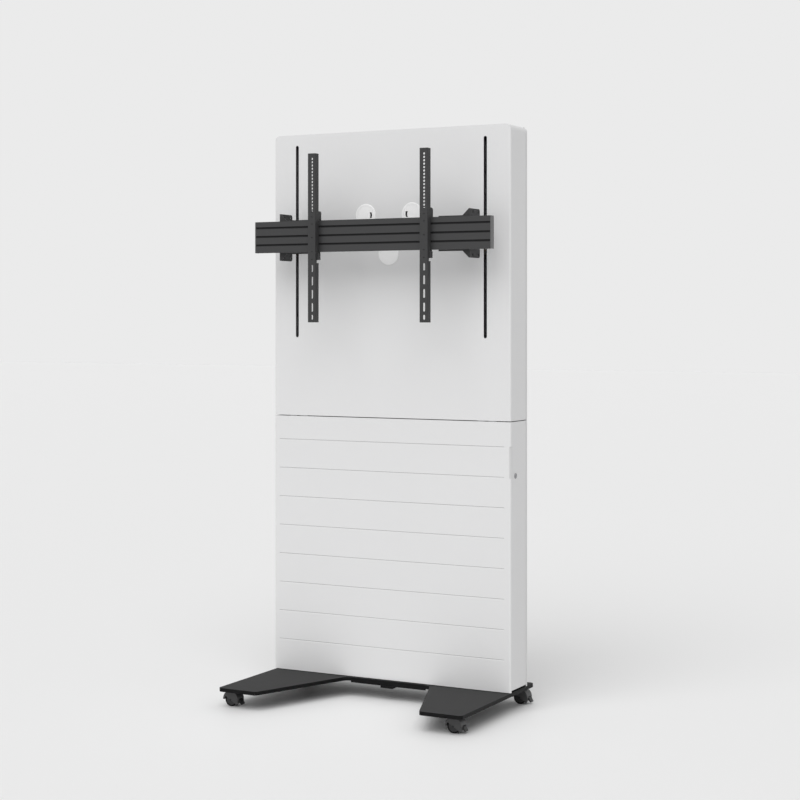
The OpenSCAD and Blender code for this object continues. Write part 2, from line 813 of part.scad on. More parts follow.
// Bent bracket: a front plate on the bar and a side plate towards the cabinet
module brackets() {
  low = bar_z - flange_h / 2;
  high = bar_z + flange_h / 2;
  r = 10;
  color(black) both_sides() {
    difference() {
      from_side(tab_x, tab_x + bracket_t) {
        translate([bar_back, bar_z - tab_h / 2]) square([tab_d - r, tab_h]);
        translate([bar_back, bar_z - tab_h / 2 + r]) square([tab_d, tab_h - 2 * r]);
        for (s = [-1, 1]) translate([bar_back + tab_d - r, bar_z + s * (tab_h / 2 - r)]) circle(r);
      }
      for (s = [-1, 1], y = [tab_hole_in + 14, tab_d - tab_hole_in])
        round_x(bar_back + y, bar_z + s * (tab_h / 2 - tab_hole_in), 4.5, tab_x - cut,
          tab_x + bracket_t + cut);
      for (p = arm_bolt_at) round_x(p[0], p[1], 4, tab_x - cut, tab_x + bracket_t + cut);
    }
    difference() {
      from_front(bar_back, bar_back + bracket_t) polygon([
        [flange_in, low], [tab_x - gusset, low], [tab_x + 1, bar_z - tab_h / 2],
        [tab_x + 1, bar_z + tab_h / 2], [tab_x - gusset, high], [flange_in, high]]);
      for (p = flange_bolt_at) round_y(p[0], p[1], 4, bar_back - cut, bar_back + bracket_t + cut);
    }
  }
}

arm_bolt_at = [for (s = [-1, 1]) [bar_back + 60, bar_z + s * 25]];
flange_bolt_at = [for (x = [22, 90], s = [-1, 1]) [flange_in + x, bar_z + s * 40]];

module bracket_bolts() {
  color("#8f9398") both_sides() {
    for (p = arm_bolt_at) {
      round_x(p[0], p[1], 4, tab_x, tab_x + bracket_t);
      translate([tab_x - 5, p[0], p[1]]) rotate([0, 90, 0]) cylinder(h = 5, r = 7, $fn = 6);
    }
    for (p = flange_bolt_at) {
      round_y(p[0], p[1], 4, bar_back - bar_wall, bar_back + bracket_t);
      translate([p[0], bar_back + bracket_t + 5, p[1]]) rotate([90, 0, 0])
        cylinder(h = 5, r = 7, $fn = 6);
    }
  }
}

groove_at = [0.2, 0.48, 0.75];
v_half = 4;
v_deep = 3.5;

// Section of the bar in Y and Z: chambers, V grooves, hook groove and latch rebate
module bar_section() {
  web_z = [for (g = groove_at) bar_high - g * bar_h];
  inner = bar_front + bar_wall + v_deep;
  difference() {
    translate([bar_front, bar_low]) square([bar_d, bar_h]);
    for (z = web_z) polygon([[bar_front - 0.01, z - v_half], [bar_front + v_deep, z],
      [bar_front - 0.01, z + v_half]]);
    // Two chambers behind the grooved face
    translate([inner, bar_low + rebate_h + bar_wall])
      square([bar_back - bar_wall - inner, bar_h / 2 - rebate_h - 2 * bar_wall]);
    translate([inner, bar_z + bar_wall])
      square([bar_back - bar_wall - inner, bar_h / 2 - hook_slot_depth - 3 * bar_wall]);
    translate([hook_slot[0], bar_high - hook_slot_depth])
      square([hook_slot[1] - hook_slot[0], hook_slot_depth + cut]);
    translate([hook_slot[0], bar_low - cut]) square([bar_d, rebate_h + cut]);
  }
}

module bar_profile() {
  color("#232325") difference() {
    from_side(-bar_len / 2, bar_len / 2) bar_section();
    both_sides() for (p = flange_bolt_at)
      round_y(p[0], p[1], 4, bar_back - bar_wall - cut, bar_back + cut);
  }
}

module bar_end_caps() {
  color(black) both_sides() from_side(bar_len / 2, bar_len / 2 + cap_t)
    round_rect(bar_front, bar_low, bar_back, bar_high, 2);
}

// Places of the holes below the top of a strip
round_count = 17;
round_first = 21;
dots = [240.8, 268, 318.8, 373.7, 401.7];
slots = [[422.5, 449.7], [467, 500], [517, 550], [567, 600], [611.7, 629.7]];

// Perforated channel with a hook over the bar on each flange; s is the side
module strip(s) {
  x0 = s * (column_x + s * strip_shift) - column_off - strip_w / 2;
  hole_x = s * column_x + strip_shift;
  color(black) difference() {
    union() {
      translate([x0, strip_front, strip_low]) difference() {
        linear_extrude(strip_h) round_rect(0, 0, strip_w, strip_d + 6, 2.5);
        translate([strip_t, strip_t, -cut]) cube([strip_w - 2 * strip_t, 2 * strip_d, strip_h + 2 * cut]);
        translate([-cut, strip_d - clear, -cut]) cube([strip_w + 2 * cut, strip_d, strip_h + 2 * cut]);
      }
      // Hooks: a rounded tab above the bar with a lip down into its groove
      for (x = [x0, x0 + strip_w - strip_t]) from_side(x, x + strip_t) {
        round_rect(strip_front + 5, bar_high + clear, hook_slot[1] - 2, bar_high + hook_h, 10);
        translate([strip_front + 5, bar_high + clear]) square([hook_slot[1] - strip_front - 7, 14]);
        translate([hook_slot[0] + 2, bar_high - hook_slot_depth + 2])
          square([hook_slot[1] - hook_slot[0] - 4, hook_slot_depth + 6]);
      }
    }
    for (i = [0 : round_count - 1])
      round_y(hole_x, strip_high - round_first - i * hole_pitch, hole_d / 2,
        strip_front - cut, strip_front + strip_t + cut);
    for (z = dots)
      round_y(hole_x, strip_high - z, 2.2, strip_front - cut, strip_front + strip_t + cut);
    from_front(strip_front - cut, strip_front + strip_t + cut) for (p = slots)
      slot_shape([hole_x, strip_high - p[0] - hole_d / 2],
        [hole_x, strip_high - p[1] + hole_d / 2], hole_d / 2);
    // Side window for the latch's release tab
    translate([x0 + strip_w - strip_t - cut, bar_front - 14, bar_low - latch_h - 12])
      cube([strip_t + 2 * cut, 20, latch_h + 8]);
  }
}

module left_strip() { strip(-1); }
module right_strip() { strip(1); }

// Latch below the bar: a body in the channel, a tongue up into the rebate, a release tab
module latch(s) {
  x0 = s * (column_x + s * strip_shift) - column_off - strip_w / 2;
  top = bar_low - 1.5;
  body_y = strip_front + strip_t + clear;
  bridge_in = strip_t + 3;
  bridge_t = 7;
  tongue_t = 4;
  tongue_back = bar_back - 1.5;
  color("#151517") {
    translate([x0 + strip_t + clear, body_y, top - latch_h])
      cube([strip_w - 2 * strip_t - 2 * clear, bar_front - body_y - 1, latch_h]);
    translate([x0 + bridge_in, bar_front - 4, top - bridge_t - 1])
      cube([strip_w - 2 * bridge_in, tongue_back - bar_front + 4, bridge_t]);
    translate([x0 + bridge_in, tongue_back - tongue_t, top - bridge_t - 1])
      cube([strip_w - 2 * bridge_in, tongue_t, rebate_h + 3]);
    translate([x0 + strip_w - 6, bar_front - 12, top - latch_h + 1])
      cube([6 + latch_out, 11, latch_h - 6]);
  }
}

module left_latch() { latch(-1); }
module right_latch() { latch(1); }

// Control box on the bottom cross bar, with nine cooling grooves in its front
module control_box() {
  w = 220;
  h = 90;
  d = 60;
  back = cross_back - 12;
  vent_w = 6;
  vent_pitch = 16;
  vent_end = 20;
  z = cross_z[0] + bar_tube;
  color("#2a2b2e") difference() {
    translate([0, 0, z]) linear_extrude(h) round_rect(-w / 2, back - d, w / 2, back, 5);
    for (i = [-4 : 4])
      translate([i * vent_pitch - vent_w / 2, back - d - cut, z + vent_end])
        cube([vent_w, 2 + cut, h - 2 * vent_end]);
  }
}

// Inlet socket with its flange on the back panel
module mains_inlet() {
  color("#202022") translate([inlet_x, 0, inlet_z]) difference() {
    union() {
      from_front(cab_back, cab_back + 2.5)
        round_rect(-inlet_w / 2 - 6, -inlet_h / 2 - 4, inlet_w / 2 + 6, inlet_h / 2 + 4, 4);
      from_front(cab_back - 22, cab_back)
        square([inlet_w - 0.6, inlet_h - 0.6], center = true);
    }
    from_front(cab_back - 16, cab_back + 5) square([inlet_w - 20, inlet_h - 8], center = true);
  }
}

base_frame();
caster_seats();
caster_plates();
caster_screws();
cable_outlet();
caster_fl_hood();
caster_fl_pins();
caster_fl_wheels();
caster_fl_pedal();
caster_fr_hood();
caster_fr_pins();
caster_fr_wheels();
caster_fr_pedal();
caster_rl_hood();
caster_rl_pins();
caster_rl_wheels();
caster_rl_pedal();
caster_rr_hood();
caster_rr_pins();
caster_rr_wheels();
caster_rr_pedal();
left_upright();
right_upright();
upright_feet();
cross_bars();
frame_bolts();
back_panel();
upper_cover();
lower_cover();
cover_screws();
hinge_frame_leaves();
hinge_pins();
hinge_door_leaves();
lock_housing();
lock_cylinder();
lock_catch();
grommet_rings();
grommet_cap_left();
grommet_cap_right();
grommet_cap_low();
left_motor();
right_motor();
left_spindle();
right_spindle();
spindle_bearings();
spindle_nuts();
carriages();
glide_collars();
arms();
brackets();
bracket_bolts();
bar_profile();
bar_end_caps();
left_strip();
right_strip();
left_latch();
right_latch();
control_box();
mains_inlet();
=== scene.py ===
"""Motorized mobile TV stand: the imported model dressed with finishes, bent edges and hardware."""

import json
import math

import bmesh
import bpy
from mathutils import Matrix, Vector


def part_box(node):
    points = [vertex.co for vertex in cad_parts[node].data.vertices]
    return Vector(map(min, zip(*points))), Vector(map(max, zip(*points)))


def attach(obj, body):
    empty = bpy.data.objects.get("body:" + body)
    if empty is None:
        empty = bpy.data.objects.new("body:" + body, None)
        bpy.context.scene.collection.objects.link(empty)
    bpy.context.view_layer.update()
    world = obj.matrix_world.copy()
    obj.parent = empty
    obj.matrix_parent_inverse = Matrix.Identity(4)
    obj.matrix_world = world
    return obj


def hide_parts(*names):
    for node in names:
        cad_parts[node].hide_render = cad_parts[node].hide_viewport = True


bl_info = {
    "name": "Mobile TV Stand",
    "version": (1, 0, 0),
    "blender": (4, 5, 0),
    "location": "3D View > Sidebar > TV Stand",
    "description": "Finishes and hardware of a motorized mobile TV stand",
    "category": "Object",
}

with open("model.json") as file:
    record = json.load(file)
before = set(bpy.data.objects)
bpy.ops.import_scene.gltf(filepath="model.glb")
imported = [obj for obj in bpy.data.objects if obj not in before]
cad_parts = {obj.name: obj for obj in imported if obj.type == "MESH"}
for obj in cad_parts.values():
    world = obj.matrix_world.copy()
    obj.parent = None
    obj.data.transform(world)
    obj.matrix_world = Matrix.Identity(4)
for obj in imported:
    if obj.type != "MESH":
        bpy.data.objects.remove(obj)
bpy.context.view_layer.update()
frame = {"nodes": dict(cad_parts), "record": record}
NODES = frame["nodes"]
SLOT_OF = {part["node"]: part["material_slot"] for part in frame["record"]["subparts"]}

# The camera stands level, with a square picture whose horizon lies off the middle
IMAGE_PX = 800
SENSOR_MM = 36.0
HORIZON_PX = 317.87
CLIP_END = 60.0
FLOOR_HALF = 40.0

MM = 0.001
WELD = 1e-5  # points nearer than this are one
ON_PLANE = 2e-5  # how far a packed point may lie from the plane that picks it
ON_CUT = 1e-6  # how near to a cutting plane a point counts as on it
FLAT_ANGLE = math.radians(0.6)  # neighbour faces that bend less than this become one
SHARP_ANGLE = math.radians(35.0)  # edges that bend more than this are rounded
SLOPED = 0.3  # part of a face's normal from which the face slopes that way
STANDING = 0.5  # upward part of a face's normal up to which the face stands

FLOAT, VECTOR, COLOUR = "NodeSocketFloat", "NodeSocketVector", "NodeSocketColor"
GEOMETRY, MATERIAL = "NodeSocketGeometry", "NodeSocketMaterial"


class StageSettings(bpy.types.PropertyGroup):
    """Camera, floor and light."""

    camera_at: bpy.props.FloatVectorProperty(
        name="Camera place", description="Where the camera stands", size=3,
        default=(3.1641, -5.8141, 1.461), subtype="TRANSLATION", unit="LENGTH")
    camera_turn: bpy.props.FloatProperty(
        name="Camera turn", description="Turn of the level camera about the vertical",
        default=math.radians(27.81), subtype="ANGLE")
    focal_px: bpy.props.FloatProperty(
        name="Focal length", description="Focal length in pixels of the square image",
        default=1755.4, min=200.0)
    floor_colour: bpy.props.FloatVectorProperty(
        name="Floor colour", description="Colour of the plain floor", size=3,
        default=(0.84, 0.84, 0.84), subtype="COLOR", min=0.0, max=1.0)
    backdrop: bpy.props.FloatProperty(
        name="Backdrop", description="Brightness of the plain backdrop seen behind the stand",
        default=0.83, min=0.0, max=1.0)
    ambient: bpy.props.FloatProperty(
        name="Ambient light", description="Strength of the even light from all sides",
        default=0.50, min=0.0)
    key_strength: bpy.props.FloatProperty(
        name="Key light", description="Strength of the wide soft lamp overhead",
        default=1.9, min=0.0)
    key_from: bpy.props.FloatVectorProperty(
        name="Key direction", description="Direction that the soft lamp shines from", size=3,
        default=(0.10, -0.62, 0.778), subtype="DIRECTION")
    key_spread: bpy.props.FloatProperty(
        name="Key spread", description="Angular width of the soft lamp",
        default=math.radians(60.0), subtype="ANGLE")


class FinishSettings(bpy.types.PropertyGroup):
    """Colours of the finishes."""

    white_coat: bpy.props.FloatVectorProperty(
        name="Cabinet coat", description="White powder coat of the covers", size=3,
        default=(0.715, 0.715, 0.718), subtype="COLOR", min=0.0, max=1.0)
    # Painted shade: a darker cabinet coat on the grooves' downward facets stands in for the shade
    # under each groove's upper edge
    groove_painted_shade: bpy.props.FloatVectorProperty(
        name="Groove shade", description="Cabinet coat darkened as painted shade on the grooves' downward facets", size=3,
        default=(0.46, 0.46, 0.46), subtype="COLOR", min=0.0, max=1.0)
    black_coat: bpy.props.FloatVectorProperty(
        name="Black coat", description="Black powder coat of base, brackets and strips", size=3,
        default=(0.046, 0.046, 0.047), subtype="COLOR", min=0.0, max=1.0)
    base_coat: bpy.props.FloatVectorProperty(
        name="Base coat", description="Dull black powder coat of the base tray's top", size=3,
        default=(0.046, 0.046, 0.0465), subtype="COLOR", min=0.0, max=1.0)
    # Painted shade: a darker copy of the base's black coat on the tray's standing faces stands in
    # for the shade on its skirts
    base_edge: bpy.props.FloatVectorProperty(
        name="Base skirt", description="Black coat darkened as painted shade on the base tray's skirts", size=3,
        default=(0.007, 0.007, 0.0072), subtype="COLOR", min=0.0, max=1.0)
    bar_anodise: bpy.props.FloatVectorProperty(
        name="Bar finish", description="Black anodised finish of the bar", size=3,
        default=(0.030, 0.030, 0.031), subtype="COLOR", min=0.0, max=1.0)
    # Painted shade: a darker copy of the bar's anodised finish on the sloped faces of its grooves
    # stands in for the shade inside them
    bar_groove_painted_shade: bpy.props.FloatVectorProperty(
        name="Bar grooves", description="Black anodised finish darkened as painted shade in the bar's grooves", size=3,
        default=(0.014, 0.014, 0.0145), subtype="COLOR", min=0.0, max=1.0)
    # Partly painted light: the caps are satin plastic, and their grey is raised above the bar's to
    # stand in for the light on their sides
    end_cap: bpy.props.FloatVectorProperty(
        name="End caps", description="Satin plastic of the bar's end caps, lightened as painted light", size=3,
        default=(0.11, 0.11, 0.112), subtype="COLOR", min=0.0, max=1.0)
    zinc: bpy.props.FloatVectorProperty(
        name="Zinc", description="Zinc plated steel of the frame and hardware", size=3,
        default=(0.56, 0.57, 0.58), subtype="COLOR", min=0.0, max=1.0)
    plastic_white: bpy.props.FloatVectorProperty(
        name="Grommet plastic", description="White plastic of the cable grommets", size=3,
        default=(0.92, 0.92, 0.92), subtype="COLOR", min=0.0, max=1.0)
    plastic_black: bpy.props.FloatVectorProperty(
        name="Black plastic", description="Moulded plastic of the small black pieces", size=3,
        default=(0.022, 0.022, 0.023), subtype="COLOR", min=0.0, max=1.0)
    hood: bpy.props.FloatVectorProperty(
        name="Caster hoods", description="Moulded plastic of the casters' hoods", size=3,
        default=(0.052, 0.052, 0.053), subtype="COLOR", min=0.0, max=1.0)
    tyre: bpy.props.FloatVectorProperty(
        name="Tyres", description="Rubber of the casters' tyres", size=3,
        default=(0.005, 0.005, 0.0052), subtype="COLOR", min=0.0, max=1.0)
    hub: bpy.props.FloatVectorProperty(
        name="Wheel discs", description="Plastic of the discs inside the tyres", size=3,
        default=(0.027, 0.027, 0.028), subtype="COLOR", min=0.0, max=1.0)


class DetailSettings(bpy.types.PropertyGroup):
    """Sizes of edges and hardware."""

    edge_round: bpy.props.FloatProperty(
        name="Edge rounding", description="Rounding of sheet and profile edges",
        default=0.0006, min=0.0001, subtype="DISTANCE", unit="LENGTH")
    thread_pitch: bpy.props.FloatProperty(
        name="Thread pitch", description="Rise of the spindle thread in one turn",
        default=0.010, min=0.002, subtype="DISTANCE", unit="LENGTH")
    thread_ridge: bpy.props.FloatProperty(
        name="Thread ridge", description="Half width of the spindle thread's ridge",
        default=0.0011, min=0.0002, subtype="DISTANCE", unit="LENGTH", precision=5)
    thread_plain: bpy.props.FloatProperty(
        name="Plain end", description="Length without thread at both ends of a spindle",
        default=0.03, min=0.0, subtype="DISTANCE", unit="LENGTH")
    screw_head: bpy.props.FloatProperty(
        name="Screw head radius", description="Radius of the back panel's screw heads",
        default=0.0055, min=0.002, subtype="DISTANCE", unit="LENGTH")
    screw_high: bpy.props.FloatProperty(
        name="Screw head height", description="Height of the back panel's screw heads",
        default=0.002, min=0.0005, subtype="DISTANCE", unit="LENGTH", precision=5)
    groove_floor: bpy.props.FloatProperty(
        name="Groove floor", description="Depth of the packed grooves",
        default=0.0008, subtype="DISTANCE", unit="LENGTH", precision=5)
    groove_top: bpy.props.FloatProperty(
        name="Top groove", description="Height of the top groove",
        default=0.984, subtype="DISTANCE", unit="LENGTH")
    groove_pitch: bpy.props.FloatProperty(
        name="Groove pitch", description="Pitch of the grooves",
        default=0.1124, subtype="DISTANCE", unit="LENGTH")
    groove_left: bpy.props.FloatProperty(
        name="Groove start", description="Distance of the grooves' bend from the left wall",
        default=0.024, subtype="DISTANCE", unit="LENGTH")
    groove_right: bpy.props.FloatProperty(
        name="Groove end", description="Distance of the grooves' bend from the right wall",
        default=0.029, subtype="DISTANCE", unit="LENGTH")
    press_deep: bpy.props.FloatProperty(
        name="Groove depth", description="Depth along the middle of a groove",
        default=0.0017, subtype="DISTANCE", unit="LENGTH", precision=5)
    press_edge: bpy.props.FloatProperty(
        name="Groove edge", description="Depth along the edges of a groove",
        default=0.0002, subtype="DISTANCE", unit="LENGTH", precision=5)
    recess: bpy.props.FloatProperty(
        name="Recess width", description="Packed width of the hand recess on the front",
        default=0.015, subtype="DISTANCE", unit="LENGTH")
    recess_front: bpy.props.FloatProperty(
        name="Recess on the front", description="Width of the hand recess left on the front",
        default=0.007, subtype="DISTANCE", unit="LENGTH")
    inlet_floor: bpy.props.FloatProperty(
        name="Inlet floor", description="Height of the inlet's floor above its inner end",
        default=0.006, subtype="DISTANCE", unit="LENGTH")
    tyre: bpy.props.FloatProperty(
        name="Tyre", description="Width of the tyre seen on the side of a wheel",
        default=0.0049, subtype="DISTANCE", unit="LENGTH")
    slot_x: bpy.props.FloatProperty(
        name="Slot place", description="Distance of the cover's slots from the middle",
        default=0.4065, subtype="DISTANCE", unit="LENGTH")
    slot_low: bpy.props.FloatProperty(
        name="Slot foot", description="Lower end of the cover's slots",
        default=1.385, subtype="DISTANCE", unit="LENGTH")
    slot_high: bpy.props.FloatProperty(
        name="Slot top", description="Upper end of the cover's slots",
        default=2.136, subtype="DISTANCE", unit="LENGTH")
    slot_width: bpy.props.FloatProperty(
        name="Slot width", description="Width of the cover's slots",
        default=0.013, subtype="DISTANCE", unit="LENGTH")
    trim_wall: bpy.props.FloatProperty(
        name="Trim wall", description="Thickness of the slots' edge trim",
        default=0.0011, subtype="DISTANCE", unit="LENGTH")
    trim_depth: bpy.props.FloatProperty(
        name="Trim depth", description="Depth of the slots' edge trim behind the cover's face",
        default=0.006, subtype="DISTANCE", unit="LENGTH")


def stage_settings():
    return bpy.context.scene.stand_stage


def finish_settings():
    return bpy.context.scene.stand_finish


def detail_settings():
    return bpy.context.scene.stand_detail


# Node groups

def new_group(kind, name, inputs, outputs):
    """A node group with named sockets and its two end nodes."""
    group = bpy.data.node_groups.new(name, kind)
    for label, socket_kind, value in inputs:
        socket = group.interface.new_socket(name=label, in_out="INPUT", socket_type=socket_kind)
        if value is not None:
            socket.default_value = value
    for label, socket_kind in outputs:
        group.interface.new_socket(name=label, in_out="OUTPUT", socket_type=socket_kind)
    group.nodes.new("NodeGroupInput").name = "in"
    group.nodes.new("NodeGroupOutput").name = "out"
    return group


def set_inputs(node, **values):
    """Sets a node's inputs by their names, with an underscore for a space."""
    for label, value in values.items():
        node.inputs[label.replace("_", " ")].default_value = value
    return node


def math_node(tree, operation):
    """A Math node, whose inputs are set and linked by their places."""
    node = tree.nodes.new("ShaderNodeMath")
    node.operation = operation
    return node


def wire(tree, *routes):
    """Links nodes. A route holds a node, its output, the next node and that one's input."""
    for source, output, target, entry in routes:
        tree.links.new(source.outputs[output], target.inputs[entry])


def grain_group():
    """Fine relief of a sprayed or moulded skin: an orange peel and a finer grit."""
    group = new_group("ShaderNodeTree", "skin_relief", [
        ("Vector", VECTOR, None), ("Peel scale", FLOAT, 160.0), ("Grit scale", FLOAT, 1400.0),
        ("Grit share", FLOAT, 0.4),
    ], [("Height", FLOAT)])
    source, out = group.nodes["in"], group.nodes["out"]
    peel = set_inputs(group.nodes.new("ShaderNodeTexNoise"), Detail=2.0)
    grit = set_inputs(group.nodes.new("ShaderNodeTexNoise"), Detail=3.0)
    mix = group.nodes.new("ShaderNodeMix")
    wire(group, (source, "Vector", peel, "Vector"), (source, "Vector", grit, "Vector"),
         (source, "Peel scale", peel, "Scale"), (source, "Grit scale", grit, "Scale"),
         (source, "Grit share", mix, "Factor"), (peel, "Fac", mix, "A"), (grit, "Fac", mix, "B"),
         (mix, "Result", out, "Height"))
    return group


def drift_group():
    """Slow change of tone over a large sheet."""
    group = new_group("ShaderNodeTree", "tone_drift", [
        ("Vector", VECTOR, None), ("Colour", COLOUR, (0.5, 0.5, 0.5, 1.0)),
        ("Amount", FLOAT, 0.03), ("Scale", FLOAT, 3.0),
    ], [("Colour", COLOUR), ("Mask", FLOAT)])
    source, out = group.nodes["in"], group.nodes["out"]
    cloud = set_inputs(group.nodes.new("ShaderNodeTexNoise"), Detail=5.0, Roughness=0.6)
    centred = math_node(group, "SUBTRACT")
    centred.inputs[1].default_value = 0.5
    spread = math_node(group, "MULTIPLY_ADD")
    spread.inputs[2].default_value = 1.0
    scale = group.nodes.new("ShaderNodeVectorMath")
    scale.operation = "SCALE"
    wire(group, (source, "Vector", cloud, "Vector"), (source, "Scale", cloud, "Scale"),
         (cloud, "Fac", centred, 0), (centred, 0, spread, 0), (source, "Amount", spread, 1),
         (source, "Colour", scale, 0), (spread, 0, scale, "Scale"), (scale, 0, out, "Colour"),
         (cloud, "Fac", out, "Mask"))
    return group


def dust_group():
    """Thin dust that settles on faces that look up."""
    group = new_group("ShaderNodeTree", "settled_dust", [
        ("Vector", VECTOR, None), ("Colour", COLOUR, (0.1, 0.1, 0.1, 1.0)),
        ("Dust", COLOUR, (0.5, 0.48, 0.45, 1.0)), ("Amount", FLOAT, 0.05),
    ], [("Colour", COLOUR)])
    source, out = group.nodes["in"], group.nodes["out"]
    geometry = group.nodes.new("ShaderNodeNewGeometry")
    parts = group.nodes.new("ShaderNodeSeparateXYZ")
    speck = set_inputs(group.nodes.new("ShaderNodeTexNoise"), Scale=40.0, Detail=6.0)
    upward = math_node(group, "MULTIPLY")
    upward.use_clamp = True
    amount = math_node(group, "MULTIPLY")
    mix = group.nodes.new("ShaderNodeMix")
    mix.data_type = "RGBA"
    wire(group, (geometry, "Normal", parts, 0), (source, "Vector", speck, "Vector"),
         (parts, "Z", upward, 0), (speck, "Fac", upward, 1), (upward, 0, amount, 0),
         (source, "Amount", amount, 1), (amount, 0, mix, "Factor"), (source, "Colour", mix, "A"),
         (source, "Dust", mix, "B"), (mix, "Result", out, "Colour"))
    return group


GROUP_MAKERS = {"skin_relief": grain_group, "tone_drift": drift_group, "settled_dust": dust_group}


def group_node(tree, name, **values):
    """A shader group placed in a material with its own values."""
    if name not in bpy.data.node_groups:
        GROUP_MAKERS[name]()
    node = tree.nodes.new("ShaderNodeGroup")
    node.node_tree = bpy.data.node_groups[name]
    return set_inputs(node, **values)


# Finishes

def rgba(colour):
    return (colour[0], colour[1], colour[2], 1.0)


def coated(name, colour, roughness, drift=0.03, drift_scale=3.0, dust=0.0, relief=0.1,
           relief_depth=0.0002, peel=160.0, grit=1400.0, grit_share=0.4, spread=0.12,
           metallic=0.0, specular=0.5, stretch=(1.0, 1.0, 1.0)):
    """A finish with drifting tone, settled dust, skin relief and uneven gloss."""
    material = bpy.data.materials.new(name)
    material.use_nodes = True
    tree = material.node_tree
    shader = set_inputs(tree.nodes["Principled BSDF"], Metallic=metallic,
                        Specular_IOR_Level=specular)
    place = tree.nodes.new("ShaderNodeTexCoord")
    mapping = set_inputs(tree.nodes.new("ShaderNodeMapping"), Scale=stretch)
    tone = group_node(tree, "tone_drift", Colour=rgba(colour), Amount=drift, Scale=drift_scale)
    film = group_node(tree, "settled_dust", Amount=dust)
    skin = group_node(tree, "skin_relief", Peel_scale=peel, Grit_scale=grit,
                      Grit_share=grit_share)
    bump = set_inputs(tree.nodes.new("ShaderNodeBump"), Strength=relief, Distance=relief_depth)
    gloss = set_inputs(tree.nodes.new("ShaderNodeMapRange"), To_Min=roughness - spread / 2,
                       To_Max=roughness + spread / 2)
    wire(tree, (place, "Object", mapping, "Vector"), (place, "Object", tone, "Vector"),
         (place, "Object", film, "Vector"), (tone, "Colour", film, "Colour"),
         (film, "Colour", shader, "Base Color"), (mapping, "Vector", skin, "Vector"),
         (skin, "Height", bump, "Height"), (bump, "Normal", shader, "Normal"),
         (tone, "Mask", gloss, "Value"), (gloss, "Result", shader, "Roughness"))
    return material


def make_finishes():
    """The finishes: one for each material slot of the record, and the second looks."""
    look = finish_settings()
    return {
        "white_steel": coated(
            "white_powder_coat", look.white_coat, roughness=0.42, drift=0.02, dust=0.02,
            relief=0.25, relief_depth=0.00012, peel=220.0, grit=900.0),
        # Painted shade for the downward facets of the door's grooves
        "groove_painted_shade": coated(
            "painted_shade_powder_coat", look.groove_painted_shade, roughness=0.55, drift=0.04, dust=0.05,
            relief=0.3, relief_depth=0.00012, peel=220.0, grit=900.0),
        "black_steel": coated(
            "black_powder_coat", look.black_coat, roughness=0.5, drift=0.12, dust=0.012,
            specular=0.2, relief=0.5, relief_depth=0.00025, peel=420.0, grit=1500.0,
            grit_share=0.6, spread=0.1),
        "base_steel": coated(
            "base_powder_coat", look.base_coat, roughness=0.7, drift=0.12, dust=0.008,
            specular=0.05, relief=0.35, relief_depth=0.0002, peel=380.0, grit=1400.0,
            grit_share=0.6, spread=0.08),
        # Painted shade on the base tray's skirts; the outlet box and caster seats take it all over
        "base_edge": coated(
            "base_edge_coat", look.base_edge, roughness=0.45, drift=0.12, specular=0.08,
            relief=0.3, relief_depth=0.0002, peel=380.0, grit=1400.0, grit_share=0.6,
            spread=0.08),
        "black_pin": coated(
            "blackened_pin", (0.02, 0.02, 0.021), roughness=0.35, drift=0.15, metallic=0.6,
            relief=0.2, relief_depth=0.0001, peel=300.0),
        # Satin plastic, lightened as painted light for the caps' lit sides
        "end_cap": coated(
            "satin_cap_plastic_painted_light", look.end_cap, roughness=0.38, drift=0.08, relief=0.3,
            relief_depth=0.00015, peel=420.0, spread=0.08),
        "black_aluminium": coated(
            "black_anodised", look.bar_anodise, roughness=0.42, drift=0.10, dust=0.01,
            relief=0.3, relief_depth=0.0001, peel=300.0, grit=900.0, spread=0.08,
            stretch=(0.02, 1.0, 1.0)),
        # Painted shade inside the bar's grooves
        "bar_groove_painted_shade": coated(
            "anodised_groove_painted_shade", look.bar_groove_painted_shade, roughness=0.5, drift=0.15, dust=0.01,
            specular=0.15, relief=0.3, relief_depth=0.0001, peel=300.0,
            stretch=(0.02, 1.0, 1.0)),
        "black_plastic": coated(
            "black_moulded_plastic", look.plastic_black, roughness=0.45, drift=0.10, dust=0.02,
            specular=0.3, relief=0.35, relief_depth=0.0002, peel=500.0, grit=2200.0),
        "wheel_rubber": coated(
            "wheel_rubber", look.tyre, roughness=0.7, drift=0.2, dust=0.03, specular=0.12,
            relief=0.4, relief_depth=0.0003, peel=350.0, grit=1200.0),
        "hood_plastic": coated(
            "caster_hood_plastic", look.hood, roughness=0.42, drift=0.1, dust=0.02,
            specular=0.4, relief=0.35, relief_depth=0.0002, peel=500.0, grit=2200.0),
        "wheel_hub": coated(
            "wheel_hub_plastic", look.hub, roughness=0.4, drift=0.1, dust=0.02,
            specular=0.35, relief=0.3, relief_depth=0.00015, peel=500.0),
        "zinc_steel": coated(
            "zinc_plated_steel", look.zinc, roughness=0.34, drift=0.14, drift_scale=24.0,
            metallic=1.0, relief=0.15, relief_depth=0.0001, peel=120.0, spread=0.16),
        "chrome": coated(
            "satin_chrome", (0.30, 0.30, 0.31), roughness=0.26, drift=0.06, metallic=1.0,
            relief=0.08, relief_depth=0.00005, spread=0.08),
        "white_plastic": coated(
            "white_grommet_plastic", look.plastic_white, roughness=0.32, drift=0.015,
            relief=0.12, relief_depth=0.0001, peel=300.0, spread=0.06),
        "nylon": coated(
            "natural_nylon", (0.78, 0.76, 0.7), roughness=0.5, drift=0.05, relief=0.2),
        "brass": coated(
            "machined_brass", (0.72, 0.56, 0.28), roughness=0.3, drift=0.08, metallic=1.0,
            relief=0.2, relief_depth=0.0001, stretch=(1.0, 1.0, 12.0)),
    }


FINISHES = {}


def finish(look):
    """The material of a slot or of a second look; the first call makes them all."""
    if not FINISHES:
        FINISHES.update(make_finishes())
    return FINISHES[look]


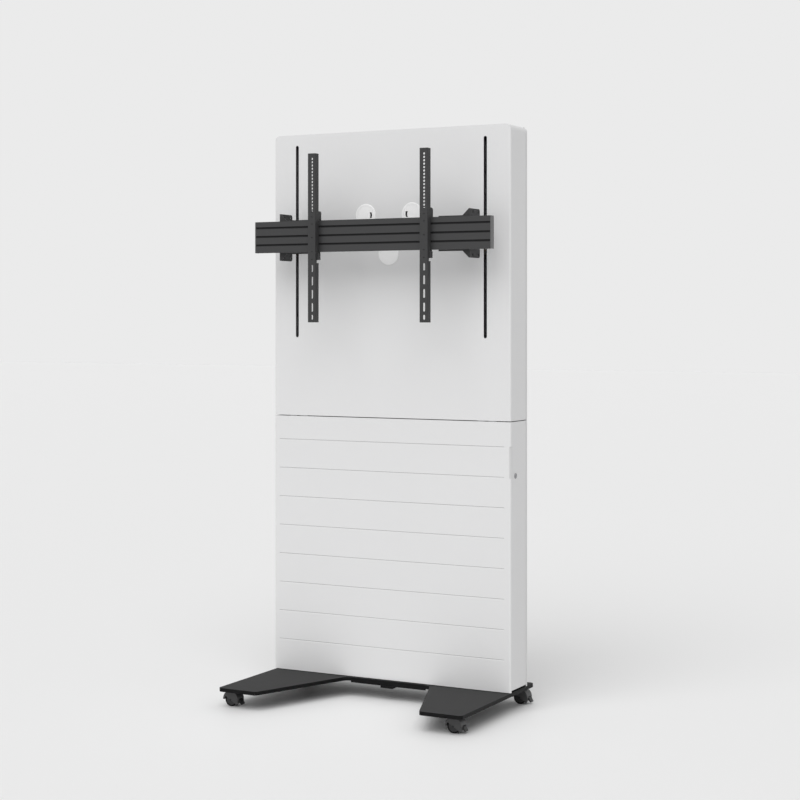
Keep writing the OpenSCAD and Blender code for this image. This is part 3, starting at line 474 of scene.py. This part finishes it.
def body_name(node):
    """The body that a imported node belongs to."""
    for name, members in frame["record"]["behaviour"]["bodies"].items():
        if node in members:
            return name
    raise RuntimeError("no body holds " + node)


def place_piece(piece, node_names, body, slot_name, look=None):
    """Gives a finished mesh its finish, body and slot, and hides the nodes it stands for."""
    piece.data.materials.clear()
    piece.data.materials.append(finish(look or slot_name))
    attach(piece, body)
    if node_names:
        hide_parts(*node_names)
    return piece


def linked_object(name, data):
    """A new object in the scene's own collection."""
    piece = bpy.data.objects.new(name, data)
    bpy.context.scene.collection.objects.link(piece)
    return piece


def merged_copy(node, name):
    """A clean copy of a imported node: joined corners and whole flat faces."""
    piece = linked_object(name, NODES[node].data.copy())
    work = bmesh.new()
    work.from_mesh(piece.data)
    bmesh.ops.remove_doubles(work, verts=work.verts, dist=WELD)
    bmesh.ops.dissolve_limit(work, angle_limit=FLAT_ANGLE, verts=work.verts, edges=work.edges)
    bmesh.ops.dissolve_degenerate(work, dist=WELD, edges=work.edges)
    work.to_mesh(piece.data)
    work.free()
    return piece


def round_edges(piece, width, segments=2):
    """Rounds the sharp edges and keeps flat faces flat in shading."""
    for polygon in piece.data.polygons:
        polygon.use_smooth = True
    bevel = piece.modifiers.new("edge rounding", "BEVEL")
    bevel.width = width
    bevel.segments = segments
    bevel.limit_method = "ANGLE"
    bevel.angle_limit = SHARP_ANGLE
    bevel.use_clamp_overlap = True
    shade = piece.modifiers.new("flat faces", "WEIGHTED_NORMAL")
    shade.mode = "FACE_AREA"
    shade.weight = 100


def dress(node, name, width, segments=2, look=None, reshape=None):
    """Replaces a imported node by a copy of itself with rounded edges."""
    piece = merged_copy(node, name)
    if reshape:
        reshape(piece)
    round_edges(piece, width, segments)
    return place_piece(piece, [node], body_name(node), SLOT_OF[node], look)


def dress_all(roundings):
    """Dresses the nodes of a table that gives each its rounding in millimetres."""
    return {node: dress(node, node + "_edged", width * MM) for node, width in roundings.items()}


def mark_faces(piece, look, chosen):
    """Gives the chosen faces of a dressed piece a second finish."""
    piece.data.materials.append(finish(look))
    for polygon in piece.data.polygons:
        if chosen(polygon):
            polygon.material_index = 1


# Geometry node trees

def new_tree(name, inputs):
    """A tree with the Geometry sockets that a modifier needs."""
    return new_group("GeometryNodeTree", name, [("Geometry", GEOMETRY, None)] + inputs,
                     [("Geometry", GEOMETRY)])


def socket_id(tree, label):
    """The identifier that sets a named input on a modifier."""
    for item in tree.interface.items_tree:
        if item.item_type == "SOCKET" and item.in_out == "INPUT" and item.name == label:
            return item.identifier
    raise RuntimeError("no input named " + label)


def run_tree(name, tree, points, values):
    """Runs a tree on a mesh of loose points and returns the result as a plain object."""
    mesh = bpy.data.meshes.new(name + "_spots")
    mesh.from_pydata(points, [], [])
    holder = linked_object(name + "_holder", mesh)
    modifier = holder.modifiers.new(name, "NODES")
    modifier.node_group = tree
    for label, value in values.items():
        modifier[socket_id(tree, label)] = value
    depsgraph = bpy.context.evaluated_depsgraph_get()
    result = bpy.data.meshes.new_from_object(holder.evaluated_get(depsgraph))
    holder.modifiers.remove(modifier)
    bpy.data.objects.remove(holder)
    return linked_object(name, result)


def repeat_tree(name):
    """Sets a copy of an object on each point, turned and sized alike, with a chance spin."""
    tree = new_tree(name, [
        ("Pattern", "NodeSocketObject", None), ("Size", FLOAT, 1.0),
        ("Turn", VECTOR, (0.0, 0.0, 0.0)), ("Seed", "NodeSocketInt", 3), ("Spin", FLOAT, 0.0),
        ("Material", MATERIAL, None)])
    nodes = tree.nodes
    source, out = nodes["in"], nodes["out"]
    pattern = nodes.new("GeometryNodeObjectInfo")
    spots = nodes.new("GeometryNodeMeshToPoints")
    copies = nodes.new("GeometryNodeInstanceOnPoints")
    chance = nodes.new("FunctionNodeRandomValue")
    chance.data_type = "FLOAT"
    chance.inputs["Min"].default_value = -1.0
    spin = math_node(tree, "MULTIPLY")
    about = nodes.new("ShaderNodeCombineXYZ")
    turn = nodes.new("GeometryNodeRotateInstances")
    turn.inputs["Local Space"].default_value = True
    real = nodes.new("GeometryNodeRealizeInstances")
    paint = nodes.new("GeometryNodeSetMaterial")
    wire(tree, (source, "Geometry", spots, "Mesh"), (source, "Pattern", pattern, "Object"),
         (spots, "Points", copies, "Points"), (pattern, "Geometry", copies, "Instance"),
         (source, "Size", copies, "Scale"), (source, "Turn", copies, "Rotation"),
         (source, "Seed", chance, "Seed"), (chance, "Value", spin, 0),
         (source, "Spin", spin, 1), (spin, 0, about, "Z"),
         (copies, "Instances", turn, "Instances"), (about, 0, turn, "Rotation"),
         (turn, "Instances", real, "Geometry"), (real, "Geometry", paint, "Geometry"),
         (source, "Material", paint, "Material"), (paint, "Geometry", out, "Geometry"))
    return tree


# Small solids

def skin_rings(work, rings):
    """Joins each ring of points to the next by faces; a ring may be a single point."""
    for low, high in zip(rings, rings[1:]):
        for i in range(max(len(low), len(high))):
            corners = (low[i % len(low)], low[(i + 1) % len(low)],
                       high[(i + 1) % len(high)], high[i % len(high)])
            unique = list(dict.fromkeys(corners))
            if len(unique) > 2:
                work.faces.new(unique)


def closed_mesh(work, name):
    """Stores a closed shell as a mesh with its faces outwards."""
    bmesh.ops.recalc_face_normals(work, faces=work.faces)
    mesh = bpy.data.meshes.new(name)
    work.to_mesh(mesh)
    work.free()
    return mesh


def lathe(name, outline, steps):
    """A turned solid about Z from radius and height pairs that start and end on the axis."""
    work = bmesh.new()
    rings = []
    for radius, height in outline:
        angles = [2.0 * math.pi * i / steps for i in range(steps if radius else 1)]
        rings.append([work.verts.new((radius * math.cos(a), radius * math.sin(a), height))
                      for a in angles])
    skin_rings(work, rings)
    return closed_mesh(work, name)


def recessed_head(name, radius, height, recess, sides):
    """A screw head with a polygon recess in its top, for the repeats."""
    floor, shoulder = height * 0.35, height * 0.8
    dome, crown = radius * 0.86, radius * 0.62
    mesh = lathe(name, [(0.0, 0.0), (radius, 0.0), (radius, floor), (dome, shoulder),
                        (crown, height), (recess, height), (recess, floor), (0.0, floor)],
                 4 * sides)
    half = math.pi / sides
    for vert in mesh.vertices:
        if abs(math.hypot(vert.co.x, vert.co.y) - recess) < WELD:
            angle = math.atan2(vert.co.y, vert.co.x) % (2 * half) - half
            share = math.cos(half) / math.cos(angle)
            vert.co.x *= share
            vert.co.y *= share
    return linked_object(name, mesh)


def node_solids(node):
    """Boxes of a node's separate solids, as low and high corners."""
    work = bmesh.new()
    work.from_mesh(NODES[node].data)
    bmesh.ops.remove_doubles(work, verts=work.verts, dist=WELD)
    left = set(work.verts)
    boxes = []
    while left:
        stack = [left.pop()]
        group = list(stack)
        while stack:
            for edge in stack.pop().link_edges:
                for vert in edge.verts:
                    if vert in left:
                        left.discard(vert)
                        stack.append(vert)
                        group.append(vert)
        lo = Vector(min(v.co[i] for v in group) for i in range(3))
        hi = Vector(max(v.co[i] for v in group) for i in range(3))
        boxes.append((lo, hi))
    work.free()
    boxes.sort(key=lambda box: tuple(round(x, 4) for x in box[0]))
    return boxes


class STAND_OT_stage(bpy.types.Operator):
    """Make the camera, the floor and the light"""

    bl_idname = "stand.stage"
    bl_label = "Stage"

    def execute(self, context):
        make_camera(context.scene)
        make_floor()
        make_light(context.scene)
        return {"FINISHED"}


def make_camera(scene):
    """A level camera with a shifted lens, as the photograph was solved."""
    settings = stage_settings()
    lens = bpy.data.cameras.new("camera")
    lens.sensor_width = SENSOR_MM
    lens.lens = settings.focal_px * SENSOR_MM / IMAGE_PX
    lens.shift_y = (HORIZON_PX - IMAGE_PX / 2) / IMAGE_PX
    lens.clip_end = CLIP_END
    camera = linked_object("camera", lens)
    camera.location = settings.camera_at
    camera.rotation_euler = (math.pi / 2, 0.0, settings.camera_turn)
    scene.camera = camera


def make_floor():
    """A pale floor that takes the shadows and has the backdrop's tone far away."""
    half = FLOOR_HALF
    mesh = bpy.data.meshes.new("floor")
    mesh.from_pydata([(-half, -half, 0.0), (half, -half, 0.0), (half, half, 0.0),
                      (-half, half, 0.0)], [], [(0, 1, 2, 3)])
    floor = linked_object("floor", mesh)
    material = bpy.data.materials.new("pale_floor")
    material.use_nodes = True
    set_inputs(material.node_tree.nodes["Principled BSDF"], Roughness=0.55,
               Base_Color=rgba(stage_settings().floor_colour), Specular_IOR_Level=0.25)
    mesh.materials.append(material)


def make_light(scene):
    """Even light, a plain backdrop for the rays that see it, and a wide soft lamp."""
    settings = stage_settings()
    world = bpy.data.worlds.new("studio")
    scene.world = world
    world.use_nodes = True
    tree = world.node_tree
    even = set_inputs(tree.nodes["Background"], Color=(1.0, 1.0, 1.0, 1.0),
                      Strength=settings.ambient)
    seen = set_inputs(tree.nodes.new("ShaderNodeBackground"),
                      Color=(settings.backdrop,) * 3 + (1.0,))
    path = tree.nodes.new("ShaderNodeLightPath")
    direct, seeing = math_node(tree, "MAXIMUM"), math_node(tree, "MAXIMUM")
    mix = tree.nodes.new("ShaderNodeMixShader")
    wire(tree, (path, "Is Camera Ray", direct, 0), (path, "Is Glossy Ray", direct, 1),
         (direct, 0, seeing, 0), (path, "Is Transmission Ray", seeing, 1),
         (seeing, 0, mix, "Fac"), (even, 0, mix, 1), (seen, 0, mix, 2),
         (mix, 0, tree.nodes["World Output"], "Surface"))
    key = bpy.data.lights.new("key", "SUN")
    key.energy = settings.key_strength
    key.angle = settings.key_spread
    lamp = linked_object("key", key)
    lamp.rotation_euler = Vector(settings.key_from).to_track_quat("Z", "Y").to_euler()


class STAND_OT_finishes(bpy.types.Operator):
    """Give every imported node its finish"""

    bl_idname = "stand.finishes"
    bl_label = "Finishes"

    def execute(self, context):
        for node, piece in NODES.items():
            piece.data.materials.clear()
            piece.data.materials.append(finish(SLOT_OF[node]))
        return {"FINISHED"}


class STAND_OT_covers(bpy.types.Operator):
    """Round the sheet edges of the covers, the door and the back panel"""

    bl_idname = "stand.covers"
    bl_label = "Covers"

    def execute(self, context):
        width = detail_settings().edge_round
        dress("upper_cover", "upper_cover_sheet", width)
        door = dress("lower_cover", "lower_cover_sheet", width / 2, reshape=press_door)
        # Painted shade: the groove facets that face down get the darker coat
        mark_faces(door, "groove_painted_shade", lambda polygon: (
            polygon.normal.y < -SLOPED and polygon.normal.z < -SLOPED))
        dress("back_panel", "back_panel_sheet", width)
        return {"FINISHED"}


def flat_faces(work, y):
    """The faces that lie at one depth."""
    return [face for face in work.faces
            if all(abs(vert.co.y - y) < ON_PLANE for vert in face.verts)]


def press_door(piece):
    """Presses the grooves to a V and draws the hand recess to the side wall."""
    settings = detail_settings()
    low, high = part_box("lower_cover")
    front, side = low[1], high[0]
    floor = front + settings.groove_floor
    ends = (low[0] + settings.groove_left, side - settings.groove_right)
    work = bmesh.new()
    work.from_mesh(piece.data)
    rows = {round((settings.groove_top - face.calc_center_median().z) / settings.groove_pitch)
            for face in flat_faces(work, floor)}
    middles = [settings.groove_top - row * settings.groove_pitch for row in sorted(rows)]
    cuts = [((x, 0, 0), (1, 0, 0)) for x in ends] + [((0, 0, z), (0, 0, 1)) for z in middles]
    for place, normal in cuts:
        faces = flat_faces(work, floor)
        edges = list({edge for face in faces for edge in face.edges})
        verts = list({vert for face in faces for vert in face.verts})
        bmesh.ops.bisect_plane(work, geom=verts + edges + faces, dist=ON_CUT, plane_co=place,
                               plane_no=normal)
    faces = flat_faces(work, floor)
    for vert in {vert for face in faces for vert in face.verts}:
        on_line = min(abs(vert.co.z - z) for z in middles) < WELD
        inside = ends[0] - WELD < vert.co.x < ends[1] + WELD
        vert.co.y = front + (settings.press_deep if on_line and inside else settings.press_edge)
    bmesh.ops.triangulate(work, faces=[face for face in faces if len(face.verts) > 4])
    for vert in work.verts:
        if (abs(vert.co.y - front) < ON_PLANE
                and abs(side - settings.recess - vert.co.x) < ON_PLANE):
            vert.co.x = side - settings.recess_front
    work.to_mesh(piece.data)
    work.free()


# Edge trims of the slots: the play in the slot, how far they stand out, and their rounding
TRIM_PLAY = 0.0001
TRIM_PROUD = 0.0003
TRIM_ROUND = 0.0002
TRIM_STEPS = 16


def slot_loop(centre, low, high, radius, steps):
    """Points of a slot's outline in X and Z, with round ends."""
    points = []
    for middle, start in ((high, 0.0), (low, math.pi)):
        for i in range(steps + 1):
            angle = start + math.pi * i / steps
            points.append((centre + radius * math.cos(angle), middle + radius * math.sin(angle)))
    return points


def lining(name, outer, inner, y_front, y_back):
    """A closed band between two outlines, from the front to the back."""
    work = bmesh.new()
    rings = [[work.verts.new((x, y, z)) for x, z in outline]
             for outline, y in ((outer, y_front), (inner, y_front), (inner, y_back),
                                (outer, y_back))]
    skin_rings(work, rings + rings[:1])
    return linked_object(name, closed_mesh(work, name))


class STAND_OT_slot_trims(bpy.types.Operator):
    """Line the two slots of the upper cover with a thin dark edge trim"""

    bl_idname = "stand.slot_trims"
    bl_label = "Slot trims"

    def execute(self, context):
        settings = detail_settings()
        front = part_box("upper_cover")[0][1]
        half = settings.slot_width / 2
        low, high = settings.slot_low + half, settings.slot_high - half
        for side, name in ((-1.0, "left"), (1.0, "right")):
            outer, inner = (
                slot_loop(side * settings.slot_x, low, high, half - inset, TRIM_STEPS)
                for inset in (TRIM_PLAY, settings.trim_wall))
            trim = lining(name + "_slot_trim", outer, inner, front - TRIM_PROUD,
                          front + settings.trim_depth)
            round_edges(trim, TRIM_ROUND)
            place_piece(trim, [], "base", "black_plastic")
        return {"FINISHED"}


class STAND_OT_base(bpy.types.Operator):
    """Round the edges of the base tray, its cable outlet and the caster seats"""

    bl_idname = "stand.base"
    bl_label = "Base"

    def execute(self, context):
        tray = dress("base_frame", "base_tray", width=0.001, segments=3, look="base_steel")
        # Painted shade: the tray's standing faces get the darker coat, and the outlet box and
        # caster seats take it all over
        mark_faces(tray, "base_edge", lambda polygon: abs(polygon.normal.z) < STANDING)
        dress("cable_outlet", "outlet_box", width=0.001, look="base_edge")
        dress("caster_seats", "caster_seats_pressed", width=0.0008, look="base_edge")
        return {"FINISHED"}


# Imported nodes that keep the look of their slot, with their rounding in millimetres
CARRIER_NODES = {
    "bar_profile": 0.5, "brackets": 0.8, "arms": 0.8, "left_strip": 0.6, "right_strip": 0.6,
    "left_latch": 0.8, "right_latch": 0.8,
}
LIFT_NODES = {
    "left_upright": 0.8, "right_upright": 0.8, "upright_feet": 0.6, "cross_bars": 0.6,
    "frame_bolts": 0.5, "left_motor": 1.2, "right_motor": 1.2, "spindle_bearings": 0.6,
    "carriages": 0.6, "spindle_nuts": 0.5, "glide_collars": 0.4, "bracket_bolts": 0.5,
    "control_box": 1.0, "mains_inlet": 0.5,
}
FITTING_NODES = {
    "grommet_rings": 0.2, "grommet_cap_left": 0.5, "grommet_cap_right": 0.5,
    "grommet_cap_low": 0.5, "lock_housing": 0.4, "lock_cylinder": 0.3, "lock_catch": 0.4,
    "hinge_frame_leaves": 0.3, "hinge_pins": 0.3, "hinge_door_leaves": 0.3,
    "caster_plates": 0.4, "caster_screws": 0.3,
}

# Each caster's parts: node, new name, rounding in millimetres and its steps, second look
CASTER_PARTS = (
    ("hood", "hood_moulded", 1.2, 2, "hood_plastic"),
    ("pedal", "pedal_moulded", 0.2, 1, None),
    ("wheels", "wheel_pair", 0.5, 2, None),
    ("pins", "pins_dark", 0.4, 2, "black_pin"),
)


class STAND_OT_carrier(bpy.types.Operator):
    """Round the edges of the bar, its caps, the brackets, arms, strips and latches"""

    bl_idname = "stand.carrier"
    bl_label = "Screen carrier"

    def execute(self, context):
        # The end caps' lighter grey is partly painted light for their lit sides
        dress("bar_end_caps", "bar_end_caps_edged", width=0.0012, look="end_cap")
        bar = dress_all(CARRIER_NODES)["bar_profile"]
        # Painted shade: the sloped faces of the bar's grooves get the darker finish
        mark_faces(bar, "bar_groove_painted_shade", lambda polygon: (
            polygon.normal.y < -SLOPED and abs(polygon.normal.z) > SLOPED))
        return {"FINISHED"}


class STAND_OT_casters(bpy.types.Operator):
    """Round the moulded parts of the casters and finish the discs of their wheels"""

    bl_idname = "stand.casters"
    bl_label = "Casters"

    def execute(self, context):
        for corner in ("fl", "fr", "rl", "rr"):
            for part, name, width, segments, look in CASTER_PARTS:
                piece = dress("caster_%s_%s" % (corner, part), "caster_%s_%s" % (corner, name),
                              width * MM, segments, look)
                if part == "wheels":
                    mark_hubs(piece, *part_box("caster_%s_wheels" % corner))
        return {"FINISHED"}


def mark_hubs(piece, lo, hi):
    """Gives the discs inside the tyres their own finish."""
    middle = ((lo[0] + hi[0]) / 2, (lo[2] + hi[2]) / 2)
    rim = (hi[2] - lo[2]) / 2 - detail_settings().tyre
    points = piece.data.vertices
    mark_faces(piece, "wheel_hub", lambda polygon: max(
        math.hypot(points[i].co.x - middle[0], points[i].co.z - middle[1])
        for i in polygon.vertices) < rim)


class STAND_OT_lift(bpy.types.Operator):
    """Round the edges of the uprights, motors, carriages and the control box"""

    bl_idname = "stand.lift"
    bl_label = "Lift"

    def execute(self, context):
        dress_all(LIFT_NODES)
        return {"FINISHED"}


class STAND_OT_fittings(bpy.types.Operator):
    """Round the edges of the grommets, lock, hinges and caster plates"""

    bl_idname = "stand.fittings"
    bl_label = "Fittings"

    def execute(self, context):
        dress_all(FITTING_NODES)
        return {"FINISHED"}


# Contact blades of the mains inlet, in millimetres, and their places from the inlet's middle
BLADE_THICK = 2.0
BLADE_HIGH = 4.0
BLADE_SHORT = 4.0  # left free between the tips and the inlet's mouth
BLADE_TIP = 1.5
BLADE_TIP_SHARE = 0.55
BLADE_SPOTS = ((-7.0, -2.0), (0.0, 2.0), (7.0, -2.0))


def blade(name, length):
    """A contact blade along Y with a chamfered tip, for the repeats."""
    work = bmesh.new()
    rings = []
    for y, share in ((0.0, 1.0), (length - BLADE_TIP * MM, 1.0), (length, BLADE_TIP_SHARE)):
        half_x, half_z = BLADE_THICK * MM / 2 * share, BLADE_HIGH * MM / 2 * share
        rings.append([work.verts.new((x * half_x, y, z * half_z))
                      for x, z in ((-1, -1), (1, -1), (1, 1), (-1, 1))])
    skin_rings(work, rings)
    work.faces.new(rings[0])
    work.faces.new(rings[-1])
    return linked_object(name, closed_mesh(work, name))


class STAND_OT_contacts(bpy.types.Operator):
    """Set the three contact blades into the mains inlet"""

    bl_idname = "stand.contacts"
    bl_label = "Inlet contacts"

    def execute(self, context):
        lo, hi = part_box("mains_inlet")
        middle_x, middle_z = (lo[0] + hi[0]) / 2, (lo[2] + hi[2]) / 2
        floor = lo[1] + detail_settings().inlet_floor
        pattern = blade("blade_pattern", hi[1] - floor - BLADE_SHORT * MM)
        spots = [(middle_x + x * MM, floor, middle_z + z * MM) for x, z in BLADE_SPOTS]
        blades = run_tree("inlet_contacts", repeat_tree("contact_row"), spots, {
            "Pattern": pattern, "Material": finish("brass")})
        bpy.data.objects.remove(pattern)
        place_piece(blades, [], body_name("mains_inlet"), "brass")
        return {"FINISHED"}


# Recess of a screw head: its share of the head's radius, and its sides
RECESS_SHARE = 0.42
RECESS_SIDES = 6


class STAND_OT_screws(bpy.types.Operator):
    """Set recessed screw heads on the back panel"""

    bl_idname = "stand.screws"
    bl_label = "Screws"

    def execute(self, context):
        settings = detail_settings()
        radius = settings.screw_head
        pattern = recessed_head("screw_pattern", radius, settings.screw_high,
                                radius * RECESS_SHARE, RECESS_SIDES)
        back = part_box("back_panel")[1][1]
        spots = []
        for lo, hi in node_solids("cover_screws"):
            centre = (lo + hi) / 2
            spots.append((centre.x, back, centre.z))
        heads = run_tree("back_screw_heads", repeat_tree("screw_row"), spots, {
            "Pattern": pattern, "Turn": (-math.pi / 2, 0.0, 0.0), "Spin": math.pi,
            "Material": finish("zinc_steel")})
        bpy.data.objects.remove(pattern)
        place_piece(heads, ["cover_screws"], "base", "zinc_steel")
        return {"FINISHED"}


# Steps of one turn of the thread and of the rod under it
THREAD_STEPS = 16
CORE_STEPS = 24


def thread_tree():
    """A ridge swept along a helix: the thread of a spindle."""
    tree = new_tree("spindle_thread", [
        ("Turns", FLOAT, 10.0), ("Length", FLOAT, 0.1), ("Radius", FLOAT, 0.008),
        ("Ridge", FLOAT, 0.0012), ("Steps", "NodeSocketInt", THREAD_STEPS),
        ("Material", MATERIAL, None)])
    nodes = tree.nodes
    source, out = nodes["in"], nodes["out"]
    helix = nodes.new("GeometryNodeCurveSpiral")
    ridge = set_inputs(nodes.new("GeometryNodeCurvePrimitiveCircle"), Resolution=4)
    sweep = set_inputs(nodes.new("GeometryNodeCurveToMesh"), Fill_Caps=True)
    real = nodes.new("GeometryNodeRealizeInstances")
    paint = nodes.new("GeometryNodeSetMaterial")
    wire(tree, (source, "Steps", helix, "Resolution"), (source, "Turns", helix, "Rotations"),
         (source, "Radius", helix, "Start Radius"), (source, "Radius", helix, "End Radius"),
         (source, "Length", helix, "Height"), (source, "Ridge", ridge, "Radius"),
         (helix, "Curve", sweep, "Curve"), (ridge, "Curve", sweep, "Profile Curve"),
         (sweep, "Mesh", real, "Geometry"), (real, "Geometry", paint, "Geometry"),
         (source, "Material", paint, "Material"), (paint, "Geometry", out, "Geometry"))
    return tree


def spindle_core(name, radius, low, high, ridge, plain):
    """A spindle's rod, full at its plain ends and thinner under the thread."""
    thin = radius - ridge
    return lathe(name, [(0.0, low), (radius, low), (radius, low + plain), (thin, low + plain),
                        (thin, high - plain), (radius, high - plain), (radius, high),
                        (0.0, high)], CORE_STEPS)


def join_core(thread, core, rise, centre):
    """Lifts the thread to its place on the rod and sets both on the spindle's axis."""
    work = bmesh.new()
    work.from_mesh(thread.data)
    bmesh.ops.translate(work, verts=work.verts, vec=(0.0, 0.0, rise))
    work.from_mesh(core)
    bmesh.ops.translate(work, verts=work.verts, vec=centre)
    bmesh.ops.recalc_face_normals(work, faces=work.faces)
    work.to_mesh(thread.data)
    work.free()
    for polygon in thread.data.polygons:
        polygon.use_smooth = False


class STAND_OT_spindles(bpy.types.Operator):
    """Wind the thread round both spindles"""

    bl_idname = "stand.spindles"
    bl_label = "Spindles"

    def execute(self, context):
        settings = detail_settings()
        ridge, plain = settings.thread_ridge, settings.thread_plain
        tree = thread_tree()
        for side in ("left", "right"):
            lo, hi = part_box(side + "_spindle")
            radius = (hi[0] - lo[0]) / 2
            length = hi[2] - lo[2] - 2 * plain
            thread = run_tree(side + "_thread", tree, [(0.0, 0.0, 0.0)], {
                "Turns": length / settings.thread_pitch, "Length": length,
                "Radius": radius - ridge, "Ridge": ridge, "Material": finish("zinc_steel")})
            core = spindle_core(side + "_core", radius, lo[2], hi[2], ridge, plain)
            join_core(thread, core, lo[2] + plain,
                      ((lo[0] + hi[0]) / 2, (lo[1] + hi[1]) / 2, 0.0))
            place_piece(thread, [side + "_spindle"], side + "_spindle", "zinc_steel")
        return {"FINISHED"}


class STAND_PT_panel(bpy.types.Panel):
    """Lists the settings of the stand and the operators that make its pieces"""

    bl_idname = "STAND_PT_panel"
    bl_label = "TV Stand"
    bl_space_type = "VIEW_3D"
    bl_region_type = "UI"
    bl_category = "TV Stand"

    def draw(self, context):
        layout = self.layout
        for settings in (context.scene.stand_stage, context.scene.stand_finish,
                         context.scene.stand_detail):
            box = layout.box()
            for name in settings.__annotations__:
                box.prop(settings, name)
        for operator in OPERATORS:
            layout.operator(operator.bl_idname)


OPERATORS = (STAND_OT_stage, STAND_OT_finishes, STAND_OT_covers, STAND_OT_slot_trims,
             STAND_OT_base, STAND_OT_carrier, STAND_OT_casters, STAND_OT_lift, STAND_OT_fittings,
             STAND_OT_contacts, STAND_OT_screws, STAND_OT_spindles)
CLASSES = (StageSettings, FinishSettings, DetailSettings) + OPERATORS + (STAND_PT_panel,)


def register():
    for item in CLASSES:
        bpy.utils.register_class(item)
    bpy.types.Scene.stand_stage = bpy.props.PointerProperty(type=StageSettings)
    bpy.types.Scene.stand_finish = bpy.props.PointerProperty(type=FinishSettings)
    bpy.types.Scene.stand_detail = bpy.props.PointerProperty(type=DetailSettings)


def unregister():
    del bpy.types.Scene.stand_detail
    del bpy.types.Scene.stand_finish
    del bpy.types.Scene.stand_stage
    for item in reversed(CLASSES):
        bpy.utils.unregister_class(item)


def main():
    register()
    bpy.context.scene.view_settings.view_transform = "Standard"
    for operator in OPERATORS:
        getattr(bpy.ops.stand, operator.bl_idname.split(".")[1])()


if __name__ == "__main__":
    main()
